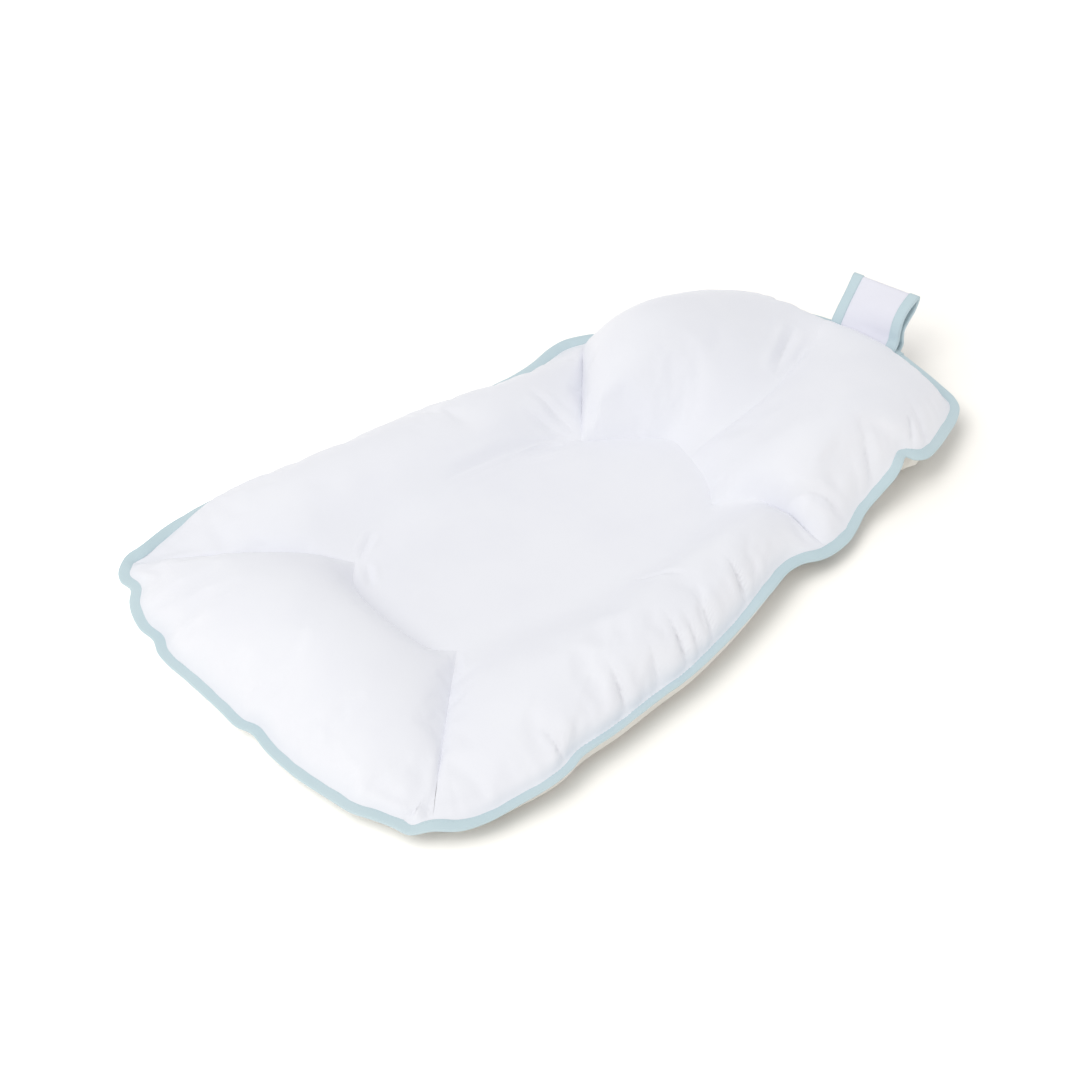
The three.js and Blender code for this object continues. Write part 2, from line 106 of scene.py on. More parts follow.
def smooth_curve(points: np.ndarray, closed: bool, per_span: int = PER_SPAN) -> np.ndarray:
    """Runs a centripetal Catmull-Rom curve through rows of numbers.

    Args:
        points: One row for each control point, its first three numbers the place.
        closed: Whether the last point joins the first.
        per_span: Samples between neighbouring control points.

    Returns:
        The sampled rows, the end point of an open curve included.
    """
    count = len(points)
    if closed:
        padded = np.vstack([points[-1], points, points[0], points[1]])
    else:
        padded = np.vstack([2 * points[0] - points[1], points, 2 * points[-1] - points[-2]])
    rows = []
    for i in range(count if closed else count - 1):
        a, b, c, d = padded[i:i + 4]
        knots = np.cumsum([0.0] + [np.linalg.norm((q - p)[:3]) ** 0.5 for p, q in ((a, b), (b, c), (c, d))])
        t = np.linspace(knots[1], knots[2], per_span, endpoint=False)[:, None]

        def blend(p: np.ndarray, q: np.ndarray, lo: int, hi: int) -> np.ndarray:
            """Goes from one row to another between two knots."""
            return ((knots[hi] - t) * p + (t - knots[lo]) * q) / (knots[hi] - knots[lo])

        first, middle, last = blend(a, b, 0, 1), blend(b, c, 1, 2), blend(c, d, 2, 3)
        rows.append(blend(blend(first, middle, 0, 2), blend(middle, last, 1, 3), 1, 2))
    if not closed:
        rows.append(points[-1:])
    return np.vstack(rows)


def evenly(points: np.ndarray, segments: int) -> np.ndarray:
    """Spaces points evenly along a polyline.

    Args:
        points: The polyline, one row for each point.
        segments: Equal lengths to divide it into.

    Returns:
        The segments + 1 points.
    """
    lengths = np.concatenate([[0.0], np.cumsum(np.linalg.norm(np.diff(points, axis=0), axis=1))])
    at = np.linspace(0.0, lengths[-1], segments + 1)
    return np.stack([np.interp(at, lengths, points[:, k]) for k in range(points.shape[1])], axis=1)


def coons_grid(outer: np.ndarray, inner: np.ndarray, start: np.ndarray, end: np.ndarray) -> np.ndarray:
    """Fills the space between four sampled sides with a Coons patch.

    Args:
        outer: The side of the first row.
        inner: The side of the last row, in the same direction.
        start: The side of the first column, from outer to inner.
        end: The side of the last column, from outer to inner.

    Returns:
        Points as rows, columns and x, y, z.
    """
    u = np.linspace(0, 1, len(outer))[None, :, None]
    v = np.linspace(0, 1, len(start))[:, None, None]
    ruled = outer[None] * (1 - v) + inner[None] * v + start[:, None] * (1 - u) + end[:, None] * u
    near = outer[0] * (1 - u) + outer[-1] * u
    far = inner[0] * (1 - u) + inner[-1] * u
    return ruled - (near * (1 - v) + far * v)


def grid_faces(rows: int, columns: int, ring: bool = False, tube: bool = False) -> np.ndarray:
    """Lists the quads of a grid of points.

    Args:
        rows: Points down the grid.
        columns: Points along a row.
        ring: Whether the last row joins the first.
        tube: Whether the last column joins the first.

    Returns:
        One row of four point numbers for each quad.
    """
    number = np.arange(rows * columns).reshape(rows, columns)
    if ring:
        number = np.vstack([number, number[:1]])
    if tube:
        number = np.hstack([number, number[:, :1]])
    corners = number[:-1, :-1], number[:-1, 1:], number[1:, 1:], number[1:, :-1]
    return np.stack(corners, axis=-1).reshape(-1, 4)


def grid_arcs(grid: np.ndarray) -> np.ndarray:
    """Measures a grid along its rows and columns, as a flat pattern for its weave.

    Args:
        grid: Points as rows, columns and x, y, z.

    Returns:
        Metres along and across for each point.
    """
    along, across = np.zeros((2, *grid.shape[:2]))
    along[:, 1:] = np.cumsum(np.linalg.norm(np.diff(grid, axis=1), axis=2), axis=1)
    along -= along.mean(axis=1, keepdims=True)
    across[1:] = np.cumsum(np.linalg.norm(np.diff(grid, axis=0), axis=2), axis=0)
    return np.stack([along, across], axis=-1)


def welded(grids: list[np.ndarray]) -> tuple[np.ndarray, np.ndarray, np.ndarray, np.ndarray]:
    """Joins grids along the sides that they share.

    Args:
        grids: Each as rows, columns and x, y, z.

    Returns:
        All points, the first of each shared place, the shared place of each point, and the joined faces.
    """
    stacked = np.concatenate([g.reshape(-1, 3) for g in grids])
    places = np.round(stacked, WELD_DECIMALS)
    _, first, shared = np.unique(places, axis=0, return_index=True, return_inverse=True)
    faces, start = [], 0
    for grid in grids:
        faces.append(grid_faces(*grid.shape[:2]) + start)
        start += grid.shape[0] * grid.shape[1]
    return stacked, first, shared.ravel(), shared.ravel()[np.concatenate(faces)]


def mesh_object(name: str, points: np.ndarray, faces: list | np.ndarray,
                pattern: np.ndarray | None = None) -> bpy.types.Object:
    """Makes a smooth-shaded mesh object.

    Args:
        name: The piece's name.
        points: One row for each point, in metres.
        faces: Lists of point numbers, anticlockwise from outside.
        pattern: Flat pattern place of each point, in metres.

    Returns:
        The object, linked to the scene.
    """
    mesh = bpy.data.meshes.new(name)
    mesh.from_pydata([tuple(p) for p in points], [], [tuple(int(i) for i in f) for f in faces])
    mesh.polygons.foreach_set("use_smooth", np.ones(len(mesh.polygons), dtype=bool))
    if pattern is not None:
        corners = np.empty(len(mesh.loops), dtype=np.int32)
        mesh.loops.foreach_get("vertex_index", corners)
        mesh.uv_layers.new(name="pattern").data.foreach_set("uv", pattern[corners].astype(np.float32).ravel())
    mesh.update()
    obj = bpy.data.objects.new(name, mesh)
    bpy.context.scene.collection.objects.link(obj)
    return obj


def subdivide(obj: bpy.types.Object, levels: int) -> None:
    """Subdivides a piece and keeps the result as its mesh.

    Args:
        obj: The piece.
        levels: How many times each face is split in four.
    """
    modifier = obj.modifiers.new("subdivide", "SUBSURF")
    modifier.levels = modifier.render_levels = levels
    modifier.boundary_smooth = "PRESERVE_CORNERS"
    finer = bpy.data.meshes.new_from_object(obj.evaluated_get(bpy.context.evaluated_depsgraph_get()))
    obj.modifiers.clear()
    coarse, obj.data = obj.data, finer
    bpy.data.meshes.remove(coarse)


def lookup(points: list | np.ndarray) -> kdtree.KDTree:
    """Makes a tree that finds the nearest of some points.

    Args:
        points: The points.

    Returns:
        The tree.
    """
    tree = kdtree.KDTree(len(points))
    for i, point in enumerate(points):
        tree.insert(point, i)
    tree.balance()
    return tree


def nearest_level(line: np.ndarray, places: np.ndarray) -> tuple[kdtree.KDTree, np.ndarray, np.ndarray]:
    """Finds, seen from above, the nearest point of a line for each of some places.

    Args:
        line: The line's points.
        places: The places.

    Returns:
        The line's tree, the number of each nearest point, and how far away it is.
    """
    tree = lookup(line * LEVEL)
    found = [tree.find((x, y, 0)) for x, y, _ in places]
    return tree, np.array([f[1] for f in found]), np.array([f[2] for f in found])


def mesh_arrays(obj: bpy.types.Object) -> tuple[np.ndarray, np.ndarray]:
    """Reads a piece's points and normals.

    Args:
        obj: The piece.

    Returns:
        Both as rows of x, y, z.
    """
    mesh = obj.data
    places, normals = np.empty((2, len(mesh.vertices) * 3), dtype=np.float32)
    mesh.vertices.foreach_get("co", places)
    mesh.vertex_normals.foreach_get("vector", normals)
    return places.reshape(-1, 3).astype(float), normals.reshape(-1, 3).astype(float)


def move_mesh(obj: bpy.types.Object, places: np.ndarray) -> None:
    """Moves a piece's points to new places."""
    obj.data.vertices.foreach_set("co", places.astype(np.float32).ravel())
    obj.data.update()


def sweep(name: str, sections: np.ndarray, closed: bool, lengths: np.ndarray) -> bpy.types.Object:
    """Skins closed sections that follow each other along a path.

    Args:
        name: The piece's name.
        sections: Points as sections, points round a section and x, y, z.
        closed: Whether the last section joins the first.
        lengths: How far along the path each section lies, in metres.

    Returns:
        The object, capped at both ends if it is open.
    """
    count, around = sections.shape[:2]
    sides = np.linalg.norm(np.diff(sections, axis=1, append=sections[:, :1]), axis=2)
    round_it = sides.cumsum(axis=1) - sides[:, :1]
    faces = grid_faces(count, around, ring=closed, tube=True).tolist()
    if not closed:
        cap = list(range(around))
        faces += [cap[::-1], [i + (count - 1) * around for i in cap]]
    pattern = np.stack([np.repeat(lengths[:, None], around, axis=1), round_it], axis=-1)
    return mesh_object(name, sections.reshape(-1, 3), faces, pattern.reshape(-1, 2))


def ripple(at: np.ndarray, seed: int, waves: tuple[float, ...]) -> np.ndarray:
    """Adds up a few sine waves with fixed random phases.

    Args:
        at: Where along the edge, in metres.
        seed: Picks the phases.
        waves: The wave lengths, in metres.

    Returns:
        A smooth wobble between about -1 and 1.
    """
    phases = np.random.default_rng(seed).uniform(0, 2 * math.pi, len(waves))
    return sum(np.sin(2 * math.pi * at / w + p) for w, p in zip(waves, phases)) / len(waves)


# Finishes


class NodeTree:
    """A short way to write a shader: nodes whose inputs are set, or linked, by name."""

    def __init__(self, owner: bpy.types.Material | bpy.types.World) -> None:
        """Starts from the nodes that a material or a world has."""
        owner.use_nodes = True
        self.tree = owner.node_tree

    def feed(self, node: bpy.types.Node, inputs: dict) -> bpy.types.Node:
        """Gives a node its inputs.

        Args:
            node: The node.
            inputs: For each input's name or number, its value or the output that feeds it.

        Returns:
            The node.
        """
        for name, value in inputs.items():
            if isinstance(value, bpy.types.NodeSocket):
                self.tree.links.new(value, node.inputs[name])
            else:
                node.inputs[name].default_value = value
        return node

    def add(self, kind: str, inputs: dict, **settings: str) -> bpy.types.Node:
        """Adds a node.

        Args:
            kind: Its type.
            inputs: For each input's name or number, its value or the output that feeds it.
            settings: Its own settings.

        Returns:
            The node.
        """
        node = self.tree.nodes.new(kind)
        for name, value in settings.items():
            setattr(node, name, value)
        return self.feed(node, inputs)

    def seen_by(self, *rays: str) -> bpy.types.NodeSocket:
        """Tells whether light is followed on one of some kinds of ray.

        Args:
            rays: The kinds, such as Camera.

        Returns:
            The output, 1 on those rays and 0 on others.
        """
        path = self.add("ShaderNodeLightPath", {})
        seen = path.outputs[f"Is {rays[0]} Ray"]
        for ray in rays[1:]:
            either = {0: seen, 1: path.outputs[f"Is {ray} Ray"]}
            seen = self.add("ShaderNodeMath", either, operation="MAXIMUM").outputs["Value"]
        return seen


@dataclass(frozen=True)
class Cloth:
    """A woven finish: two near colours, fine threads and a soft nap."""

    name: str
    colour: tuple[float, float, float]
    worn_colour: tuple[float, float, float]
    thread_pitch: float
    thread_turn_deg: float
    weave_depth: float
    roughness: float
    sheen: float = 0.1
    sheen_roughness: float = 0.4
    specular: float = 0.3
    nap: float = 0.08
    bump: float = 0.35
    thread_wobble: float = 0.6
    wobble_scale: float = 1.5
    cloud_scale: float = 18
    cloud_detail: float = 6
    worn_until: float = 0.3
    fresh_from: float = 0.62

    def material(self) -> bpy.types.Material:
        """Builds the finish from nodes, or hands back the one already built.

        Returns:
            The material.
        """
        ready = bpy.data.materials.get(self.name)
        if ready:
            return ready
        made = bpy.data.materials.new(self.name)
        nodes = NodeTree(made)
        place = nodes.add("ShaderNodeTexCoord", {})
        turn = nodes.add("ShaderNodeMapping", {
            "Vector": place.outputs["UV"],
            "Rotation": (0, 0, math.radians(self.thread_turn_deg)),
        })
        threads = [nodes.add("ShaderNodeTexWave", {
            "Vector": turn.outputs["Vector"],
            "Scale": WAVE_TEXTURE_PITCH / self.thread_pitch,
            "Distortion": self.thread_wobble,
            "Detail Scale": self.wobble_scale,
        }, bands_direction=direction).outputs["Fac"] for direction in "XY"]
        weave = nodes.add("ShaderNodeMath", dict(enumerate(threads)), operation="MULTIPLY").outputs["Value"]
        clouds = nodes.add("ShaderNodeTexNoise", {
            "Vector": place.outputs["Object"],
            "Scale": self.cloud_scale,
            "Detail": self.cloud_detail,
        })
        tint = nodes.add("ShaderNodeValToRGB", {"Fac": clouds.outputs["Fac"]})
        worn, fresh = tint.color_ramp.elements
        worn.position, worn.color = self.worn_until, (*self.worn_colour, 1)
        fresh.position, fresh.color = self.fresh_from, (*self.colour, 1)
        rough = nodes.add("ShaderNodeMapRange", {
            "Value": weave,
            "To Min": self.roughness + self.nap,
            "To Max": self.roughness - self.nap,
        })
        bump = nodes.add("ShaderNodeBump", {
            "Height": weave,
            "Strength": self.bump,
            "Distance": self.weave_depth,
        })
        nodes.feed(nodes.tree.nodes["Principled BSDF"], {
            "Base Color": tint.outputs["Color"],
            "Roughness": rough.outputs["Result"],
            "Normal": bump.outputs["Normal"],
            "Sheen Weight": self.sheen,
            "Sheen Roughness": self.sheen_roughness,
            "Specular IOR Level": self.specular,
        })
        return made

    def dress(self, obj: bpy.types.Object) -> None:
        """Puts the finish on a piece."""
        obj.data.materials.clear()
        obj.data.materials.append(self.material())


WHITE_FABRIC = Cloth("white_cover_fabric", (0.88, 0.89, 0.94), (0.86, 0.87, 0.925),
                     0.9 * MM, 0, 0.05 * MM, 0.55)
# The underside is the same white fabric as the top. Its cream colour, warmer and a little lighter than that
# white, is painted warm floor light in its shade.
BASE_FABRIC_PAINTED_WARM_LIGHT = Cloth("base_fabric_painted_warm_light", (0.93, 0.91, 0.86), (0.91, 0.89, 0.84), 0.9 * MM, 0, 0.05 * MM, 0.55)
# Painted shade: the strap is the cover's white fabric, coloured darker and bluer to suit how the strap faces
# the light.
STRAP_FABRIC_PAINTED_SHADE = Cloth("strap_fabric_painted_shade", (0.84, 0.84, 0.92), (0.82, 0.82, 0.90),
                    0.9 * MM, 0, 0.06 * MM, 0.55)
BLUE_TAPE = Cloth("blue_bias_tape", (0.59, 0.715, 0.76), (0.555, 0.69, 0.74), 0.8 * MM, 45, 0.1 * MM, 0.72)
WHITE_RIBBON = Cloth("white_ribbon", (0.88, 0.88, 0.89), (0.85, 0.85, 0.86), 0.6 * MM, 0, 0.04 * MM, 0.42)
BLUE_THREAD = Cloth("blue_thread", (0.63, 0.75, 0.79), (0.59, 0.72, 0.77), 0.35 * MM, 40, 0.04 * MM, 0.5)


# The bound edge as the mattress lies


@dataclass
class EdgeFrames:
    """Places along the bound edge: the outer line, the way inwards across the tape, and the tape's own up."""

    at: np.ndarray
    outer: np.ndarray
    inwards: np.ndarray
    normal: np.ndarray

    def offset(self, inset: float | np.ndarray, rise: float | np.ndarray) -> np.ndarray:
        """Moves the outer line across the tape and along its normal.

        Args:
            inset: Distance in from the outer line, in metres.
            rise: Distance along the tape's normal, in metres.

        Returns:
            The moved points.
        """
        inset, rise = np.broadcast_to(inset, self.at.shape), np.broadcast_to(rise, self.at.shape)
        return self.outer + self.inwards * inset[:, None] + self.normal * rise[:, None]


@dataclass
class LyingEdge:
    """The outer line of the edge binding, anticlockwise from the left foot corner, as the soft mattress lies.

    Each point is x, y, z in millimetres, how far the tape tips downwards in degrees, and the seam that ends
    there, if one does.
    """

    tape_width: float = 8.8 * MM
    turn_softness: float = 6 * MM
    sample: float = 1.5 * MM
    softening_reach: int = 12
    points: tuple = (
        (-176, -274, 17, -30, Corner.FOOT_LEFT), (-172, -282, 15, -8), (-166, -288, 14, -4),
        (-158, -291, 13, 0), (-147, -290, 13, 2), (-138, -297, 12, 4), (-128, -302, 11, 6),
        (-111, -306, 10, -4), (-96, -305, 10, -4), (-82, -310, 10, -4), (-67, -311, 10, -4),
        (-51, -310, 10, -4), (-10, -309, 10, -4), (12, -309, 10, -4), (23, -305, 10, -4),
        (45, -307, 10, -4), (74, -306, 10, -4), (93, -303, 10, -4), (109, -300, 10, -4),
        (126, -297, 11, -4), (140, -290, 11, -4), (154, -284, 11, -4), (166, -280, 11, -4),
        (176, -268, 14, 6, Corner.FOOT_RIGHT), (187, -253, 13, 5), (193, -235, 14, -10),
        (196, -209, 16, -17), (198, -185, 18, -22), (196, -166, 19, -26), (192, -153, 20, -28),
        (191, -122, 21, -30), (186, -77, 21, -30), (184, -50, 21, -29), (178, -19, 21, -26),
        (169, 17, 21, -20), (158, 53, 21, -2), (150, 76, 19, 8), (149, 91, 17, 14), (152, 106, 14, 18),
        (152, 118, 12, 20, Corner.NECK_RIGHT), (149, 137, 11, 22), (143, 152, 11, 24),
        (136, 168, 14, 26), (133, 186, 19, 28), (131, 203, 25, 32), (128, 212, 29, 36),
        (124, 219, 31, 38), (128, 224, 28, 36), (131, 235, 25, 32), (126, 253, 22, 30),
        (117, 275, 20, 28), (109, 292, 19, 16), (99, 305, 19, 4), (90, 309, 20, -4), (76, 311, 21, -8),
        (49, 313, 23, -6), (20, 313, 25, 2), (-8, 309, 26, 6), (-34, 302, 26, 8, Corner.HEAD_MIDDLE),
        (-60, 296, 22, 24), (-84, 288, 19, 28), (-103, 274, 17, 30), (-115, 252, 16, 30),
        (-122, 225, 16, 24), (-131, 195, 17, 14), (-143, 168, 20, -2),
        (-155, 138, 23, -24, Corner.NECK_LEFT), (-158, 124, 24, -36), (-157, 108, 24, -40),
        (-153, 89, 23, -28), (-152, 70, 21, 4), (-154, 50, 19, 18), (-159, 20, 16, 34),
        (-167, -15, 14, 38), (-173, -55, 12, 42), (-179, -100, 11, 44), (-186, -150, 12, 44),
        (-188, -188, 14, 40), (-185, -215, 17, 24), (-182, -236, 19, -20), (-176, -262, 19, -34),
    )
    corner_at: dict = field(default_factory=dict, init=False)

    def __post_init__(self) -> None:
        """Samples the closed line finely and notes where each corner lies on it."""
        rows = np.array([p[:4] for p in self.points], dtype=float)
        fine = smooth_curve(rows, closed=True)
        places = fine[:, :3] * MM
        steps = np.linalg.norm(np.roll(places, -1, axis=0) - places, axis=1)
        self.length = float(steps.sum())
        at = np.concatenate([[0.0], np.cumsum(steps)[:-1]])
        for i, point in enumerate(self.points):
            if len(point) > 4:
                self.corner_at[point[4]] = float(at[i * PER_SPAN])
        count = int(self.length / self.sample)
        self._at = np.arange(count) * self.length / count
        wrap = np.concatenate([at, [self.length]])
        even = [np.interp(self._at, wrap, np.append(c, c[0])) for c in (*places.T, fine[:, 3])]
        self._outer, tip = np.stack(even[:3], axis=1), np.radians(even[3])
        tangent = np.roll(self._outer, -1, axis=0) - np.roll(self._outer, 1, axis=0)
        inwards = np.stack([-tangent[:, 1], tangent[:, 0], np.zeros(count)], axis=1)
        inwards = self._softened(inwards / np.linalg.norm(inwards, axis=1, keepdims=True))
        inwards /= np.linalg.norm(inwards, axis=1, keepdims=True)
        self._inwards = inwards * np.cos(tip)[:, None] + UP * np.sin(tip)[:, None]
        self._normal = UP * np.cos(tip)[:, None] - inwards * np.sin(tip)[:, None]

    def _softened(self, rows: np.ndarray) -> np.ndarray:
        """Averages rows with their neighbours along the closed line.

        Args:
            rows: One row for each sample.

        Returns:
            The softened rows.
        """
        reach = np.arange(-self.softening_reach, self.softening_reach + 1)
        weights = np.exp(-0.5 * (reach * self.sample / self.turn_softness) ** 2)
        return sum(np.roll(rows, -k, axis=0) * w for k, w in zip(reach, weights)) / weights.sum()

    def frames(self, at: np.ndarray) -> EdgeFrames:
        """Looks up the edge at given lengths along it.

        Args:
            at: Metres along the edge from the left foot corner.

        Returns:
            The frames there.
        """
        wrap = np.append(self._at, self.length)
        look = np.mod(at, self.length)
        found = []
        for rows in (self._outer, self._inwards, self._normal):
            closed = np.vstack([rows, rows[:1]])
            found.append(np.stack([np.interp(look, wrap, closed[:, k]) for k in range(3)], axis=1))
        return EdgeFrames(np.asarray(at), *found)

    def everywhere(self) -> EdgeFrames:
        """The frames at every sample of the edge."""
        return EdgeFrames(self._at, self._outer, self._inwards, self._normal)

    def beside(self, place: tuple, spread: np.ndarray) -> np.ndarray:
        """Spreads lengths along the edge round the point of it that is nearest to a place.

        Args:
            place: The place's x and y, in metres.
            spread: The lengths from that point, in metres.

        Returns:
            Metres along the edge from the left foot corner.
        """
        nearest = np.linalg.norm(self._outer[:, :2] - np.array(place), axis=1).argmin()
        return self._at[nearest] + spread

    def between(self, start: Corner, end: Corner, segments: int) -> EdgeFrames:
        """Spaces frames evenly from one corner to the next.

        Args:
            start: The corner to start from.
            end: The corner to end at, anticlockwise.
            segments: Equal lengths to divide the stretch into.

        Returns:
            The frames.
        """
        first, last = self.corner_at[start], self.corner_at[end]
        if last <= first:
            last += self.length
        return self.frames(np.linspace(first, last, segments + 1))


@dataclass
class SeamPlan:
    """The seams of the top cover and the grids of its six chambers, with points in millimetres.

    A chamber's seam with the lying hollow runs anticlockwise. The seam at a corner runs from the edge to the
    hollow, either straight and arched up or through its bends.
    """

    edge: LyingEdge
    rows: int = 30
    side_columns: int = 80
    head_columns: int = 38
    tuck: float = 4 * MM
    lip_rise: float = 0.7 * MM
    hollow: dict = table({
        Chamber.FOOT: (
            (-61, -153, 18), (-46, -166, 18), (-20, -173, 18), (18, -173, 18), (46, -166, 18),
            (58, -154, 18),
        ),
        Chamber.RIGHT_SIDE: (
            (58, -154, 18), (65, -133, 19), (79, -97, 21), (89, -54, 23), (90, -8, 24), (87, 34, 23),
            (75, 67, 20), (59, 84, 18),
        ),
        Chamber.RIGHT_HEAD: (
            (59, 84, 18), (47, 93, 18), (32, 101, 18), (9, 108, 18),
        ),
        Chamber.LEFT_HEAD: (
            (9, 108, 18), (-16, 111, 18), (-34, 94, 18), (-59, 59, 18),
        ),
        Chamber.LEFT_SIDE: (
            (-59, 59, 18), (-69, 45, 19), (-72, -29, 23), (-75, -79, 24), (-78, -128, 20),
            (-61, -153, 18),
        ),
    })
    arches: dict = table({Corner.FOOT_LEFT: 3 * MM, Corner.FOOT_RIGHT: 4 * MM, Corner.NECK_LEFT: 11 * MM})
    bends: dict = table({
        Corner.NECK_RIGHT: (
            (102, 108, 28),
        ),
        Corner.HEAD_MIDDLE: (
            (-31, 287, 38), (-14, 258, 41), (-3, 232, 42), (8, 203, 42), (14, 173, 40), (14, 147, 34),
            (10, 127, 26),
        ),
    })
    arch_points: int = 9
    arch_bluntness: float = 0.6
    bump_columns: float = 6
    bump_reach: int = 24
    bump_fade: float = 7

    def __post_init__(self) -> None:
        """Lays the seams out between the bound edge and the lying hollow."""
        side, head = self.side_columns, self.head_columns
        columns = dict(zip(Chamber, (2 * head, side, head, head, side)))
        corners = list(Corner)
        spans = list(zip(Chamber, corners, corners[1:] + corners[:1]))
        self.edges = {c: self.edge.between(start, end, columns[c]) for c, start, end in spans}
        seams, mitres = {}, {}
        for chamber, corner, _ in spans:
            line = smooth_curve(np.array(self.hollow[chamber], dtype=float), closed=False)
            seams[chamber] = evenly(line, columns[chamber]) * MM
            mitres[corner] = self._mitre(corner, self.lip_line(chamber)[0], seams[chamber][0])
        self.sides = {c: (self.lip_line(c), seams[c], mitres[start], mitres[end]) for c, start, end in spans}
        top = np.vstack([seams[Chamber.RIGHT_HEAD], seams[Chamber.LEFT_HEAD][1:]])
        self.sides[Chamber.CENTRE] = (
            seams[Chamber.FOOT], top[::-1], seams[Chamber.LEFT_SIDE][::-1], seams[Chamber.RIGHT_SIDE])

    def lip_line(self, chamber: Chamber) -> np.ndarray:
        """The line where a chamber's fabric comes out from under the edge binding."""
        return self.edges[chamber].offset(self.edge.tape_width, self.lip_rise)

    def tuck_line(self, chamber: Chamber) -> np.ndarray:
        """The cut edge of a chamber's fabric, inside the edge binding."""
        return self.edges[chamber].offset(self.edge.tape_width - self.tuck, self.lip_rise)

    def _mitre(self, corner: Corner, outer: np.ndarray, inner: np.ndarray) -> np.ndarray:
        """Runs one seam from the bound edge to a corner of the lying hollow.

        Args:
            corner: Where it ends on the edge.
            outer: Where it leaves the edge binding.
            inner: Where it meets the hollow.

        Returns:
            The seam's points.
        """
        if corner in self.bends:
            line = np.vstack([outer, np.array(self.bends[corner], dtype=float) * MM, inner])
        else:
            t = np.linspace(0, 1, self.arch_points)[:, None]
            rise = self.arches[corner] * np.sin(np.pi * t).clip(0) ** self.arch_bluntness
            line = outer * (1 - t) + inner * t + UP * rise
        return evenly(smooth_curve(line, closed=False), self.rows)

    def _eased(self, line: np.ndarray) -> np.ndarray:
        """Evens out the small bumps of an edge line, its two ends kept.

        Args:
            line: The line's points.

        Returns:
            The eased points.
        """
        straight = np.linspace(0, 1, len(line))[:, None]
        straight = line[0] * (1 - straight) + line[-1] * straight
        bumps = line - straight
        long = np.vstack([-bumps[:0:-1], bumps, -bumps[-2::-1]])
        reach = np.arange(-self.bump_reach, self.bump_reach + 1)
        weights = np.exp(-0.5 * (reach / self.bump_columns) ** 2)
        first = len(line) - 1
        eased = sum(long[first + k:first + k + len(line)] * w for k, w in zip(reach, weights)) / weights.sum()
        eased[[0, -1]] = 0
        return straight + eased

    def grid(self, chamber: Chamber) -> np.ndarray:
        """Lays a chamber's grid between its seams, before it is filled; small bumps of the edge stay near it.

        Args:
            chamber: The chamber.

        Returns:
            Points as rows, columns and x, y, z.
        """
        outer, inner, start, end = self.sides[chamber]
        if chamber is Chamber.CENTRE:
            return coons_grid(outer, inner, start, end)
        eased = self._eased(outer)
        fade = (1 - np.linspace(0, 1, len(start))) ** self.bump_fade
        return coons_grid(eased, inner, start, end) + (outer - eased)[None] * fade[:, None, None]


# Sub-assemblies


@dataclass(frozen=True)
class Puff:
    """How a chamber stands up: its crown, and how soon it falls to its edge, hollow and two ends."""

    crown: float
    edge: float
    hollow: float
    start: float
    end: float

    def shares(self, rows: int, columns: int) -> np.ndarray:
        """Spreads the crown over a grid.

        Args:
            rows: Points from the edge to the hollow.
            columns: Points from end to end.

        Returns:
            The rise of each point, none on the border.
        """
        across = self._hump(np.linspace(0, 1, rows), self.edge, self.hollow)
        along = self._hump(np.linspace(0, 1, columns), self.start, self.end)
        return across[:, None] * along[None] * self.crown

    def _hump(self, t: np.ndarray, rise: float, fall: float) -> np.ndarray:
        """A hump of height 1 from 0 to 1, blunter at an end the smaller its power is."""
        crest = rise / (rise + fall)
        return t ** rise * (1 - t) ** fall / (crest ** rise * (1 - crest) ** fall)


